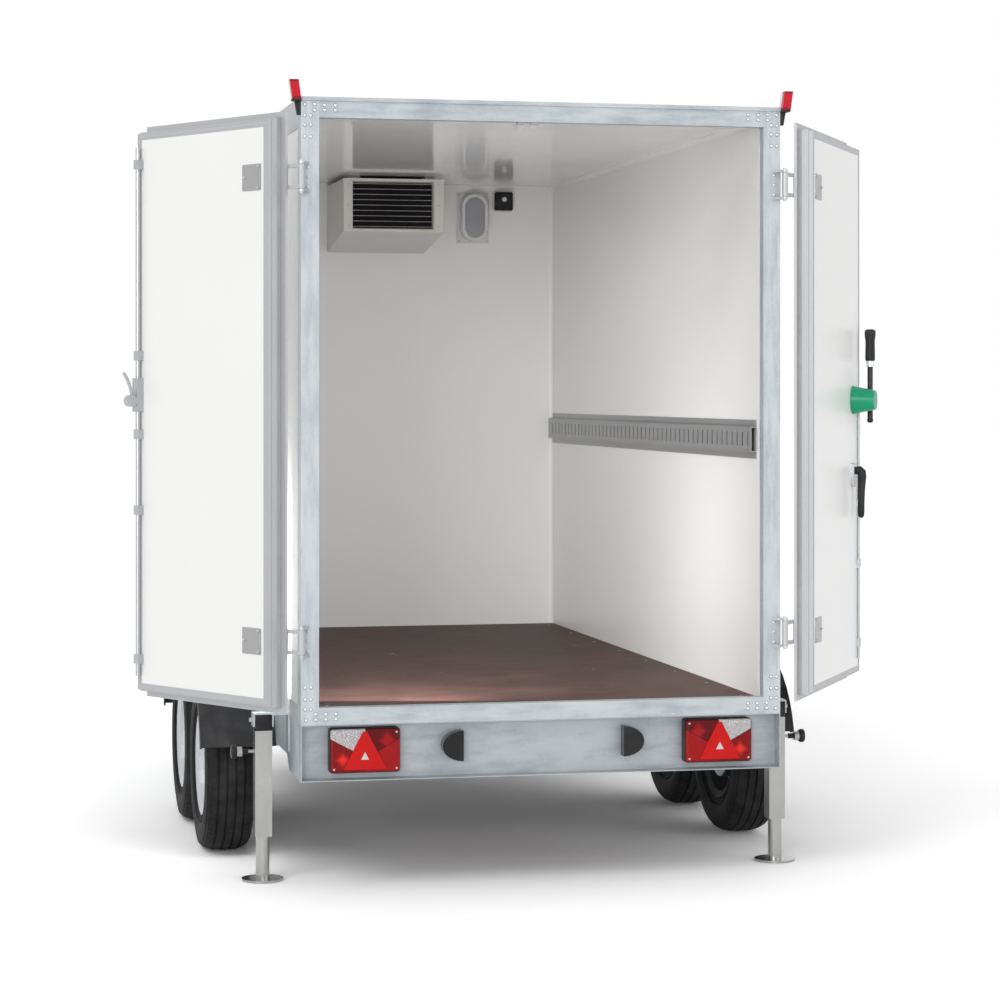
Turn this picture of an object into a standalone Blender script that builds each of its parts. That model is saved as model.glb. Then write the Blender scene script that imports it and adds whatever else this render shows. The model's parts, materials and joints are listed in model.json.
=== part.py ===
"""Refrigerated box trailer with two axles, parked on its legs and jockey wheel, both rear doors open.

Metres, +Z up, ground at z = 0. X is across (right seen from behind), Y points towards the drawbar.
Each piece is drawn with y = 0 on the rear face of the portal, under an empty that sets y = 0 of the
finished trailer at its mid-length. Doors and wheels hang on empties that lie on their own axes.
"""

import math

import bmesh
import bpy
from mathutils import Matrix, Vector

SEAT = 0.0003
OVERRUN = 0.002
WELD = 0.000001
SHARP_ANGLE = math.radians(32)
SIDES = (("left", -1), ("right", 1))

# Driving sizes of the rear portal, seen from behind
PORTAL_HALF = 0.852
POST_WIDTH = 0.062
POST_DEPTH = 0.080
RETURN_DEPTH = 0.045
SHEET = 0.003
ROOF_TOP = 2.714
DRIP_TRIM_HEIGHT = 0.014
HEADER_HEIGHT = 0.056
SILL_BOTTOM = 0.578
SILL_HEIGHT = 0.058
BEAM_HEIGHT = 0.193
BEAM_DEPTH = 0.060

HEADER_TOP = ROOF_TOP - DRIP_TRIM_HEIGHT
HEADER_BOTTOM = HEADER_TOP - HEADER_HEIGHT
SILL_TOP = SILL_BOTTOM + SILL_HEIGHT
BEAM_BOTTOM = SILL_BOTTOM - BEAM_HEIGHT

# Driving sizes of the insulated body
PANEL = 0.060
ROOF_THICKNESS = 0.045
FLOOR_THICKNESS = 0.052
LOAD_LENGTH = 3.128

WALL_OUTER = PORTAL_HALF - SHEET - SEAT
WALL_INNER = WALL_OUTER - PANEL
OPENING_HALF = PORTAL_HALF - POST_WIDTH
BODY_REAR = RETURN_DEPTH + SEAT
FRONT_INNER = BODY_REAR + LOAD_LENGTH
BODY_FRONT = FRONT_INNER + PANEL
CEILING = ROOF_TOP - ROOF_THICKNESS
FLOOR_BOTTOM = SILL_BOTTOM
FLOOR_TOP = FLOOR_BOTTOM + FLOOR_THICKNESS

# Driving sizes of the doors, which meet a little left of the centreline
PIN_OUT = 0.004
PIN_ACROSS = PORTAL_HALF + PIN_OUT
PIN_BEHIND = 0.040
DOOR_OPEN = math.radians(238.2)
DOORS_MEET = -0.030

# Driving sizes of the running gear and the chassis
WHEEL_OFFSET = 0.153
WHEEL_ACROSS = PORTAL_HALF + WHEEL_OFFSET
TYRE_RADIUS = 0.325
REAR_WHEEL = 1.013
WHEEL_SPACING = 0.729
CHASSIS_HEIGHT = 0.1425
CHASSIS_BOTTOM = FLOOR_BOTTOM - CHASSIS_HEIGHT
DRAWBAR_DEPTH = 0.070
DRAWBAR_REACH = 0.8967
DRAWBAR_FRONT = BODY_FRONT + DRAWBAR_REACH
COUPLING_REACH = 0.420
COUPLING_TIP = DRAWBAR_FRONT + COUPLING_REACH

# The hinge knuckles are the rearmost point and the coupling is the foremost
KNUCKLE_RADIUS = 0.011
MID_LENGTH = (COUPLING_TIP - PIN_BEHIND - KNUCKLE_RADIUS) / 2

parts = None
cutters = None


def clear_scene():
    """Start from an empty scene with one collection for the trailer and one for its cutters."""
    global parts, cutters
    for old in list(bpy.data.objects):
        bpy.data.objects.remove(old, do_unlink=True)
    parts = bpy.data.collections.new("refrigerated_trailer")
    cutters = bpy.data.collections.new("cutters")
    for collection in (parts, cutters):
        bpy.context.scene.collection.children.link(collection)


def finish(name, colour, roughness, metallic):
    """A plain Principled finish."""
    material = bpy.data.materials.new(name)
    material.use_nodes = True
    shader = material.node_tree.nodes["Principled BSDF"]
    shader.inputs["Base Color"].default_value = (*colour, 1)
    shader.inputs["Roughness"].default_value = roughness
    shader.inputs["Metallic"].default_value = metallic
    material.diffuse_color = (*colour, 1)
    return material


def anchor(name, place, turn=0, parent=None):
    """An empty on a joint's axis, or at the middle of the trailer, that carries pieces."""
    empty = bpy.data.objects.new(name, None)
    empty.location = place
    empty.rotation_euler.z = turn
    empty.parent = parent
    parts.objects.link(empty)
    return empty


def mesh_object(mesh):
    """A new object for a mesh, in the trailer's collection."""
    shape = bpy.data.objects.new("shape", mesh)
    parts.objects.link(shape)
    return shape


def from_bmesh(form):
    """A new object from a bmesh, its normals facing out."""
    bmesh.ops.recalc_face_normals(form, faces=form.faces)
    mesh = bpy.data.meshes.new("shape")
    form.to_mesh(mesh)
    form.free()
    return mesh_object(mesh)


def applied(shape):
    """The shape with its modifiers or its curve turned into one welded mesh."""
    bpy.context.view_layer.update()
    graph = bpy.context.evaluated_depsgraph_get()
    mesh = bpy.data.meshes.new_from_object(shape.evaluated_get(graph))
    form = bmesh.new()
    form.from_mesh(mesh)
    bmesh.ops.remove_doubles(form, verts=form.verts, dist=WELD)
    bmesh.ops.recalc_face_normals(form, faces=form.faces)
    form.to_mesh(mesh)
    form.free()
    mesh.transform(shape.matrix_world)
    solid = mesh_object(mesh)
    bpy.data.objects.remove(shape, do_unlink=True)
    return solid


def combined(base, others, operation):
    """One solid from a base and others, joined to it or cut from it."""
    for other in others:
        cutters.objects.link(other)
        parts.objects.unlink(other)
        other.hide_render = True
        other.display_type = "WIRE"
        step = base.modifiers.new("step", "BOOLEAN")
        step.operation = operation
        step.object = other
    solid = applied(base)
    for other in others:
        bpy.data.objects.remove(other, do_unlink=True)
    return solid


def fused(base, *others):
    return combined(base, others, "UNION")


def cut(base, *others):
    return combined(base, others, "DIFFERENCE")


def block(across, along, up):
    """A box from its low and high places on X, Y and Z."""
    low, high = Vector((across[0], along[0], up[0])), Vector((across[1], along[1], up[1]))
    size = high - low
    size = Vector((abs(size.x), abs(size.y), abs(size.z)))
    form = bmesh.new()
    place = Matrix.Translation((low + high) / 2) @ Matrix.Diagonal((*size, 1))
    bmesh.ops.create_cube(form, size=1, matrix=place)
    return from_bmesh(form)


def extruded(outline, start, end, axis):
    """A flat outline carried from start to end: (y, z) along X, (x, z) along Y or (x, y) along Z."""
    curve = bpy.data.curves.new("outline", "CURVE")
    curve.dimensions = "2D"
    curve.fill_mode = "BOTH"
    curve.extrude = abs(end - start) / 2
    spline = curve.splines.new("POLY")
    spline.points.add(len(outline) - 1)
    for point, (u, v) in zip(spline.points, outline):
        point.co = (u, v, 0, 1)
    spline.use_cyclic_u = True
    shape = bpy.data.objects.new("outline", curve)
    parts.objects.link(shape)
    middle = (start + end) / 2
    turns = {
        "X": Matrix(((0, 0, 1, middle), (1, 0, 0, 0), (0, 1, 0, 0), (0, 0, 0, 1))),
        "Y": Matrix(((1, 0, 0, 0), (0, 0, -1, middle), (0, 1, 0, 0), (0, 0, 0, 1))),
        "Z": Matrix.Translation((0, 0, middle)),
    }
    shape.matrix_world = turns[axis]
    return applied(shape)


def between(start, end):
    """The place and turn that carry local Z from start to end, and the distance."""
    start, end = Vector(start), Vector(end)
    run = end - start
    turn = run.to_track_quat("Z", "Y").to_matrix().to_4x4()
    return Matrix.Translation((start + end) / 2) @ turn, run.length


def rod(start, end, radius, sides=12, end_radius=None):
    """A straight round bar, or a cone where its end has another radius."""
    place, length = between(start, end)
    last = radius if end_radius is None else end_radius
    form = bmesh.new()
    bmesh.ops.create_cone(
        form, cap_ends=True, segments=sides, radius1=radius, radius2=last, depth=length, matrix=place
    )
    return from_bmesh(form)


def bent_bar(points, radius):
    """A round bar through the points."""
    curve = bpy.data.curves.new("bar", "CURVE")
    curve.dimensions = "3D"
    curve.bevel_depth = radius
    curve.bevel_resolution = 2
    curve.use_fill_caps = True
    spline = curve.splines.new("POLY")
    spline.points.add(len(points) - 1)
    for point, place in zip(spline.points, points):
        point.co = (*place, 1)
    shape = bpy.data.objects.new("bar", curve)
    parts.objects.link(shape)
    return applied(shape)


def turned(profile, steps, closed):
    """A profile of (radius, height) turned about Z. It runs down its outer side."""
    mesh = bpy.data.meshes.new("profile")
    count = len(profile)
    edges = [(i, i + 1) for i in range(count - 1)]
    if closed:
        edges.append((count - 1, 0))
    mesh.from_pydata([(radius, 0, height) for radius, height in profile], edges, [])
    shape = mesh_object(mesh)
    spin = shape.modifiers.new("spin", "SCREW")
    spin.axis = "Z"
    spin.angle = 2 * math.pi
    spin.steps = steps
    spin.render_steps = steps
    spin.use_merge_vertices = True
    spin.merge_threshold = WELD
    return applied(shape)


def along_x(shape, side):
    """Local Z turned to point outwards across the trailer on one side."""
    shape.data.transform(Matrix.Rotation(side * math.pi / 2, 4, "Y"))
    return shape


def mirrored(outline, side):
    """The outline with its X on one side of the trailer."""
    return [(side * x, other) for x, other in outline]


def span(side, inner, outer):
    """Low and high X between two distances from the centreline, on one side."""
    return sorted((side * inner, side * outer))


def arc(centre, radius, first, last, count):
    """Points of an arc, from the first angle to the last."""
    steps = [first + (last - first) * i / (count - 1) for i in range(count)]
    return [(centre[0] + radius * math.cos(a), centre[1] + radius * math.sin(a)) for a in steps]


def piece(name, shape, material, parent):
    """Names a finished shape, gives it its material and hangs it on its parent."""
    shape.name = name
    shape.data.name = name
    shape.data.materials.clear()
    shape.data.materials.append(material)
    for face in shape.data.polygons:
        face.material_index = 0
    shape.data.shade_smooth()
    shape.data.set_sharp_from_angle(angle=SHARP_ANGLE)
    shape.parent = parent
    return shape


# Body panels


def body_panels(trailer, white, board):
    """Floor, side walls, front wall and roof, each as thick as the whole sandwich."""
    inner = WALL_INNER - SEAT
    floor = block((-inner, inner), (BODY_REAR, FRONT_INNER - SEAT), (FLOOR_BOTTOM, FLOOR_TOP))
    piece("floor_panel", floor, board, trailer)
    wall_up = (FLOOR_BOTTOM, CEILING - SEAT)
    for word, side in SIDES:
        wall = block(span(side, WALL_INNER, WALL_OUTER), (BODY_REAR, FRONT_INNER - SEAT), wall_up)
        piece("wall_" + word, wall, white, trailer)
    front = block((-WALL_OUTER, WALL_OUTER), (FRONT_INNER, BODY_FRONT), wall_up)
    piece("wall_front", front, white, trailer)
    roof = block((-WALL_OUTER, WALL_OUTER), (BODY_REAR, BODY_FRONT), (CEILING, ROOF_TOP))
    piece("roof_panel", roof, white, trailer)


# Hinges

UPPER_HINGE_DROP = 0.204
LOWER_HINGE_LIFT = 0.228
HINGE_HEIGHTS = (HEADER_BOTTOM - UPPER_HINGE_DROP, SILL_TOP + LOWER_HINGE_LIFT)
HINGE_HEIGHT = 0.104
EAR = 0.008
PIN_RADIUS = 0.006
PIN_CLEARANCE = 0.0008
HINGE_PLATE = 0.004
HINGE_PLATE_WIDTH = 0.034
HINGE_PLATE_INNER = PORTAL_HALF - HINGE_PLATE_WIDTH
EAR_FOOT = 0.003
PIN_HEAD = 0.006
EAR_GAP = 0.002
ARM = 0.012


def ear_outline(side):
    """Plan of one ear of a hinge's frame half, from the post to round the pin."""
    knuckle = arc((PIN_ACROSS, -PIN_BEHIND), KNUCKLE_RADIUS, math.radians(-200), math.radians(20), 7)
    foot = -HINGE_PLATE / 2
    outline = [(HINGE_PLATE_INNER + EAR_FOOT, foot), *knuckle, (PORTAL_HALF - EAR_FOOT, foot)]
    return mirrored(outline, side)


def hinge_frame_half(side, height):
    """Plate on the post, two ears and the pin with its heads."""
    low, high = height - HINGE_HEIGHT / 2, height + HINGE_HEIGHT / 2
    plate = block(span(side, HINGE_PLATE_INNER, PORTAL_HALF), (-HINGE_PLATE, SHEET / 2), (low, high))
    lowest, highest = low + SEAT, high - EAR - SEAT
    ears = [extruded(ear_outline(side), bottom, bottom + EAR, "Z") for bottom in (lowest, highest)]
    at = (side * PIN_ACROSS, -PIN_BEHIND)
    pin = rod((*at, low - PIN_HEAD), (*at, high + PIN_HEAD), PIN_RADIUS, 8)
    return plate, *ears, pin


def hinge_door_half(side, height):
    """Knuckle round the pin, two arms and the leaf on the door's skin, about the pin's axis."""
    half = HINGE_HEIGHT / 2 - EAR - EAR_GAP
    low, high = height - half, height + half
    knuckle = rod((0, 0, low), (0, 0, high), KNUCKLE_RADIUS, 16)
    reach = FLANGE_HINGE + LEAF_WIDTH
    leaf = block(
        sorted((-side * (FLANGE_HINGE + OVERRUN), -side * reach)),
        (SKIN - HINGE_PLATE, SKIN + OVERRUN),
        (low, high),
    )
    side_line = [
        (0, KNUCKLE_RADIUS - SEAT),
        (0, SEAT - KNUCKLE_RADIUS),
        (FLANGE_HINGE + LEAF_WIDTH / 2, SKIN - 2 * HINGE_PLATE),
        (FLANGE_HINGE + LEAF_WIDTH / 2, SKIN - HINGE_PLATE / 2),
        (FLANGE_HINGE, SKIN - HINGE_PLATE / 2),
    ]
    arms = [
        extruded(mirrored(side_line, -side), bottom, bottom + ARM, "Z")
        for bottom in (low + SEAT, high - ARM - SEAT)
    ]
    return knuckle, leaf, *arms


def hinge_bore(height):
    """Cutter for the pin's hole through a door half."""
    half = HINGE_HEIGHT / 2
    return rod((0, 0, height - half), (0, 0, height + half), PIN_RADIUS + PIN_CLEARANCE, 12)


# Rear portal


def portal(trailer, galvanised):
    """Two posts with the frame halves of the hinges, header and sill, all folded sheet."""
    post_outline = [
        (OPENING_HALF, 0),
        (PORTAL_HALF, 0),
        (PORTAL_HALF, POST_DEPTH),
        (PORTAL_HALF - SHEET, POST_DEPTH),
        (PORTAL_HALF - SHEET, SHEET),
        (OPENING_HALF + SHEET, SHEET),
        (OPENING_HALF + SHEET, RETURN_DEPTH),
        (OPENING_HALF, RETURN_DEPTH),
    ]
    for word, side in SIDES:
        post = extruded(mirrored(post_outline, side), SILL_BOTTOM, HEADER_TOP, "Z")
        halves = [shape for height in HINGE_HEIGHTS for shape in hinge_frame_half(side, height)]
        piece("portal_post_" + word, fused(post, *halves), galvanised, trailer)
    piece("portal_header", header(), galvanised, trailer)
    piece("portal_sill", sill(), galvanised, trailer)


HEADER_LIP = 0.040
TRIM_OVERHANG = 0.006
SILL_LIP = 0.030


def header():
    """Folded header between the posts, with the drip trim that runs over them."""
    folded = [
        (0, HEADER_BOTTOM),
        (RETURN_DEPTH, HEADER_BOTTOM),
        (RETURN_DEPTH, HEADER_BOTTOM + HEADER_LIP),
        (RETURN_DEPTH - SHEET, HEADER_BOTTOM + HEADER_LIP),
        (RETURN_DEPTH - SHEET, HEADER_BOTTOM + SHEET),
        (SHEET, HEADER_BOTTOM + SHEET),
        (SHEET, HEADER_TOP + OVERRUN),
        (0, HEADER_TOP + OVERRUN),
    ]
    inner = OPENING_HALF - SEAT
    profile = extruded(folded, -inner, inner, "X")
    trim = block(
        (-PORTAL_HALF, PORTAL_HALF), (-TRIM_OVERHANG, RETURN_DEPTH), (HEADER_TOP + SEAT, ROOF_TOP)
    )
    return fused(profile, trim)


def sill():
    """Folded sill between the posts."""
    folded = [
        (0, SILL_BOTTOM),
        (SHEET, SILL_BOTTOM),
        (SHEET, SILL_TOP - SHEET),
        (RETURN_DEPTH - SHEET, SILL_TOP - SHEET),
        (RETURN_DEPTH - SHEET, SILL_TOP - SILL_LIP),
        (RETURN_DEPTH, SILL_TOP - SILL_LIP),
        (RETURN_DEPTH, SILL_TOP),
        (0, SILL_TOP),
    ]
    inner = OPENING_HALF - SEAT
    return extruded(folded, -inner, inner, "X")


# Lamp beam and lamps

TAIL_LAMP = (0.240, 0.050, 0.148)
TAIL_LAMP_FROM_SIDE = 0.223
TAIL_LAMP_DROP = 0.092
TAIL_LAMP_CENTRE = (PORTAL_HALF - TAIL_LAMP_FROM_SIDE, SILL_BOTTOM - TAIL_LAMP_DROP)
TAIL_LAMP_ROUND = 0.008
PLATE_LAMP_WIDTH = 0.074
PLATE_LAMP_HEIGHT = 0.106
PLATE_LAMP_DEPTH = 0.044
PLATE_LAMP_FROM_MIDDLE = 0.322
PLATE_LAMP_DROP = 0.086
PLATE_LAMP_CENTRE = (PLATE_LAMP_FROM_MIDDLE, SILL_BOTTOM - PLATE_LAMP_DROP)
MARKER_SIZE = (0.041, 0.040, 0.072)
MARKER_DROP = 0.016
MARKER_ARM_HEIGHT = 0.046
MARKER_BOTTOM = ROOF_TOP - MARKER_DROP
MARKER_ARM_BOTTOM = MARKER_BOTTOM - MARKER_ARM_HEIGHT
MARKER_ARM = (0.012, 0.020)
MARKER_LEAN = 0.010


def lamp_beam(trailer, galvanised):
    """Channel open to the rear under the sill, closed by a plate at each end."""
    top = SILL_BOTTOM - SEAT
    channel = [
        (0, BEAM_BOTTOM),
        (BEAM_DEPTH, BEAM_BOTTOM),
        (BEAM_DEPTH, top),
        (0, top),
        (0, top - SHEET),
        (BEAM_DEPTH - SHEET, top - SHEET),
        (BEAM_DEPTH - SHEET, BEAM_BOTTOM + SHEET),
        (0, BEAM_BOTTOM + SHEET),
    ]
    ends = [
        block(span(side, PORTAL_HALF - SHEET, PORTAL_HALF), (0, BEAM_DEPTH), (BEAM_BOTTOM, top))
        for _, side in SIDES
    ]
    beam = extruded(channel, -(PORTAL_HALF - SHEET / 2), PORTAL_HALF - SHEET / 2, "X")
    piece("lamp_beam", fused(beam, *ends), galvanised, trailer)


def rounded(shape, width, segments=2):
    """The shape with its edges rounded."""
    edge = shape.modifiers.new("round", "BEVEL")
    edge.width = width
    edge.segments = segments
    edge.limit_method = "ANGLE"
    return applied(shape)


def tail_lamp(side):
    """Rectangular rear cluster on the beam's web."""
    width, depth, height = TAIL_LAMP
    across, up = TAIL_LAMP_CENTRE
    web = BEAM_DEPTH - SHEET - SEAT
    shape = block(
        span(side, across - width / 2, across + width / 2),
        (web - depth, web),
        (up - height / 2, up + height / 2),
    )
    return rounded(shape, TAIL_LAMP_ROUND)


def plate_lamp(side):
    """Half-round number plate lamp, its flat side towards the plate."""
    across, up = PLATE_LAMP_CENTRE
    web = BEAM_DEPTH - SHEET - SEAT
    flat = across - PLATE_LAMP_WIDTH / 2
    half = PLATE_LAMP_HEIGHT / 2
    bow = [
        (x, z) for x, z in arc((0, 0), 1, -math.pi / 2, math.pi / 2, 13)
    ]
    outline = [(side * (flat + PLATE_LAMP_WIDTH * x), up + half * z) for x, z in bow]
    return extruded(outline, web - PLATE_LAMP_DEPTH, web, "Y")


def marker_lamp(side):
    """Outline marker lamp on a rubber arm at the top of the post."""
    width, depth, height = MARKER_SIZE
    arm_width, arm_depth = MARKER_ARM
    inner = PORTAL_HALF + SEAT
    arm_outline = [
        (inner, MARKER_ARM_BOTTOM),
        (inner + arm_width, MARKER_ARM_BOTTOM),
        (inner + arm_width + MARKER_LEAN, MARKER_BOTTOM + MARKER_LEAN),
        (inner, MARKER_BOTTOM + MARKER_LEAN),
    ]
    arm = extruded(mirrored(arm_outline, side), 0, arm_depth, "Y")
    lamp_outline = [
        (inner, MARKER_BOTTOM),
        (inner + width - MARKER_LEAN, MARKER_BOTTOM),
        (inner + width, MARKER_BOTTOM + height),
        (inner + MARKER_LEAN, MARKER_BOTTOM + height),
    ]
    lamp = extruded(mirrored(lamp_outline, side), arm_depth - depth, arm_depth, "Y")
    return fused(lamp, arm)


def lamps(trailer, red, black):
    for word, side in SIDES:
        piece("tail_lamp_" + word, tail_lamp(side), red, trailer)
        piece("plate_lamp_" + word, plate_lamp(side), black, trailer)
        piece("marker_lamp_" + word, marker_lamp(side), black, trailer)


# Chassis, drawbar and overrun device

BEAM_FLANGE = 0.060
BEAM_SHEET = 0.004
GUSSET_END = 0.372
GUSSET_SLOPE = 0.060
LEG_OFFSET = 0.088
LEG_ACROSS = PORTAL_HALF + LEG_OFFSET
LEG_ALONG = 0.331
LEG_TUBE = 0.060
CLAMP_ABOVE_FLOOR_BOTTOM = 0.004
CLAMP_HEIGHT = 0.0557
CLAMP_TOP = FLOOR_BOTTOM + CLAMP_ABOVE_FLOOR_BOTTOM
CLAMP_BOTTOM = CLAMP_TOP - CLAMP_HEIGHT
EAR_HEIGHT = 0.042
EAR_LOWEST = CLAMP_TOP - EAR_HEIGHT
BRACKET_SHEET = 0.005
BRACKET_HEIGHT = 0.132
BRACKET_FOOT = CLAMP_TOP - BRACKET_HEIGHT
CROSS_DEPTH = 0.060
DRAWBAR_AHEAD_OF_WHEEL = 0.258
DRAWBAR_REAR = REAR_WHEEL + WHEEL_SPACING + DRAWBAR_AHEAD_OF_WHEEL
MIDDLE_CROSS_FROM_DRAWBAR = 0.040
MIDDLE_CROSS = DRAWBAR_REAR + MIDDLE_CROSS_FROM_DRAWBAR
DRAWBAR_FROM_SIDE = 0.202
DRAWBAR_REAR_ACROSS = PORTAL_HALF - DRAWBAR_FROM_SIDE
DRAWBAR_WIDTH = 0.050
HOUSING_HALF = 0.045


def leg_bracket(side):
    """Galvanised saddle that holds a prop leg's clamp block beside the chassis beam."""
    half = LEG_TUBE / 2 + SEAT
    rear, front = LEG_ALONG - LEG_TUBE / 2, LEG_ALONG + LEG_TUBE / 2
    inner, outer = LEG_ACROSS - half, LEG_ACROSS + half
    low, sheet = CLAMP_TOP + SEAT, BRACKET_SHEET
    wall = WALL_OUTER + SEAT
    saddle_outline = [
        (wall, BRACKET_FOOT),
        (wall + sheet, BRACKET_FOOT),
        (wall + sheet, low - sheet / 2),
        (inner - sheet, low - sheet / 2),
        (inner - sheet, EAR_LOWEST),
        (inner, EAR_LOWEST),
        (inner, low),
        (outer, low),
        (outer, EAR_LOWEST),
        (outer + sheet, EAR_LOWEST),
        (outer + sheet, low + sheet),
        (wall, low + sheet),
    ]
    saddle = extruded(mirrored(saddle_outline, side), rear, front, "Y")
    weld_plate = block(
        span(side, WALL_OUTER - BEAM_SHEET / 2, wall + sheet / 2),
        (rear + sheet, front - sheet),
        (BRACKET_FOOT + sheet, FLOOR_BOTTOM - sheet),
    )
    return saddle, weld_plate


def chassis(trailer, galvanised):
    """Two folded beams under the side walls and two cross members between them."""
    top = FLOOR_BOTTOM - SEAT
    outer, inner = WALL_OUTER, WALL_OUTER - BEAM_FLANGE
    folded = [
        (outer, CHASSIS_BOTTOM),
        (outer, top),
        (inner, top),
        (inner, top - BEAM_SHEET),
        (outer - BEAM_SHEET, top - BEAM_SHEET),
        (outer - BEAM_SHEET, CHASSIS_BOTTOM + BEAM_SHEET),
        (inner, CHASSIS_BOTTOM + BEAM_SHEET),
        (inner, CHASSIS_BOTTOM),
    ]
    rear = BEAM_DEPTH + SEAT
    gusset_outline = [
        (rear, BEAM_BOTTOM),
        (GUSSET_END - GUSSET_SLOPE, BEAM_BOTTOM),
        (GUSSET_END, CHASSIS_BOTTOM + OVERRUN),
        (rear, CHASSIS_BOTTOM + OVERRUN),
    ]
    for word, side in SIDES:
        beam = extruded(mirrored(folded, side), rear, BODY_FRONT, "Y")
        web = sorted((side * (outer - BEAM_SHEET), side * outer))
        gusset = extruded(gusset_outline, *web, "X")
        beam = fused(beam, gusset, *leg_bracket(side))
        piece("chassis_beam_" + word, beam, galvanised, trailer)
    between_beams = (-inner + SEAT, inner - SEAT)
    members = (("middle", MIDDLE_CROSS), ("front", BODY_FRONT - CROSS_DEPTH))
    for word, start in members:
        member = [
            (start, CHASSIS_BOTTOM),
            (start + CROSS_DEPTH, CHASSIS_BOTTOM),
            (start + CROSS_DEPTH, CHASSIS_BOTTOM + BEAM_SHEET),
            (start + BEAM_SHEET, CHASSIS_BOTTOM + BEAM_SHEET),
            (start + BEAM_SHEET, top - BEAM_SHEET),
            (start + CROSS_DEPTH, top - BEAM_SHEET),
            (start + CROSS_DEPTH, top),
            (start, top),
        ]
        piece("crossmember_" + word, extruded(member, *between_beams, "X"), galvanised, trailer)


def drawbar(trailer, galvanised):
    """Two straight arms under the cross members that run together at the overrun device."""
    run = DRAWBAR_FRONT - DRAWBAR_REAR
    rear_inner = DRAWBAR_REAR_ACROSS - DRAWBAR_WIDTH / 2
    front_inner = HOUSING_HALF + SEAT
    across = DRAWBAR_WIDTH * math.hypot(run, rear_inner - front_inner) / run
    plan = [
        (rear_inner, DRAWBAR_REAR),
        (rear_inner + across, DRAWBAR_REAR),
        (front_inner + across, DRAWBAR_FRONT),
        (front_inner, DRAWBAR_FRONT),
    ]
    top = CHASSIS_BOTTOM - SEAT
    for word, side in SIDES:
        arm = extruded(mirrored(plan, side), top - DRAWBAR_DEPTH, top, "Z")
        piece("drawbar_arm_" + word, arm, galvanised, trailer)


HOUSING_BACK = 0.230
HOUSING_OUT = 0.200
HOUSING_ABOVE_ARMS = 0.0245
HOUSING_HEIGHT = 0.092
HOUSING_REAR = DRAWBAR_FRONT - HOUSING_BACK
HOUSING_FRONT = DRAWBAR_FRONT + HOUSING_OUT
HOUSING_TOP = CHASSIS_BOTTOM + HOUSING_ABOVE_ARMS
HOUSING_LOW = HOUSING_TOP - HOUSING_HEIGHT
BED_HALF = 0.085
BED_THICKNESS = 0.006
BED_LENGTH = 0.200
BELLOWS_RADIUS = 0.034
BELLOWS_GROOVE = 0.006
BELLOWS_FOLDS = 5
BELLOWS_LENGTH = 0.110
SHAFT_RADIUS = 0.022
HEAD_HALF = 0.033
HEAD_INSET = 0.008
HEAD_TOP = HOUSING_TOP - HEAD_INSET
HEAD_LOW = HOUSING_LOW + HEAD_INSET
HEAD_SLOPE = 0.022
SOCKET_RADIUS = 0.036
LEVER_RADIUS = 0.009
COUPLING_HANDLE_LIFT = 0.060
COUPLING_HANDLE_BACK = 0.120


def tow_height():
    return (HOUSING_TOP + HOUSING_LOW) / 2


def overrun_device():
    """Cast housing between the arms, its bed plate on them, the bellows and the draw shaft."""
    bed_low = CHASSIS_BOTTOM
    housing = rounded(
        block((-HOUSING_HALF, HOUSING_HALF), (HOUSING_REAR, HOUSING_FRONT), (HOUSING_LOW, HOUSING_TOP)),
        BELLOWS_GROOVE,
    )
    bed = block(
        (-BED_HALF, BED_HALF), (DRAWBAR_FRONT - BED_LENGTH, DRAWBAR_FRONT), (bed_low, bed_low + BED_THICKNESS)
    )
    fold = BELLOWS_LENGTH / BELLOWS_FOLDS
    ridge, groove = BELLOWS_RADIUS, BELLOWS_RADIUS - BELLOWS_GROOVE
    outer = [(ridge if i % 2 else groove, BELLOWS_LENGTH - i * fold / 2) for i in range(2 * BELLOWS_FOLDS + 1)]
    bellows = turned([(0, BELLOWS_LENGTH), *outer, (0, 0)], 12, False)
    forward = Matrix.Translation((0, HOUSING_FRONT - OVERRUN, tow_height()))
    bellows.data.transform(forward @ Matrix.Rotation(-math.pi / 2, 4, "X"))
    shaft_end = HOUSING_FRONT + BELLOWS_LENGTH + SHAFT_RADIUS
    shaft = rod((0, HOUSING_FRONT, tow_height()), (0, shaft_end, tow_height()), SHAFT_RADIUS)
    return fused(housing, bed, bellows, shaft)


def coupling_head():
    """Pressed ball coupling: a tapered body with a socket from below and a hand lever on top."""
    rear = HOUSING_FRONT + BELLOWS_LENGTH + SHAFT_RADIUS + SEAT
    nose = arc((0, COUPLING_TIP - HEAD_HALF), HEAD_HALF, 0, math.pi, 9)
    body = extruded([(-HEAD_HALF, rear), (HEAD_HALF, rear), *nose], HEAD_LOW, HEAD_TOP, "Z")
    body = rounded(body, BELLOWS_GROOVE, 1)
    centre = (0, COUPLING_TIP - HEAD_HALF)
    socket = rod((*centre, HEAD_LOW - OVERRUN), (*centre, tow_height()), HEAD_HALF - 2 * SHEET)
    start = (0, COUPLING_TIP - SOCKET_RADIUS, HEAD_TOP - LEVER_RADIUS)
    knee = (0, start[1] - HEAD_SLOPE, HEAD_TOP + COUPLING_HANDLE_LIFT / 2)
    grip = (0, start[1] - COUPLING_HANDLE_BACK, HEAD_TOP + COUPLING_HANDLE_LIFT)
    return fused(cut(body, socket), bent_bar([start, knee, grip], LEVER_RADIUS))


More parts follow.
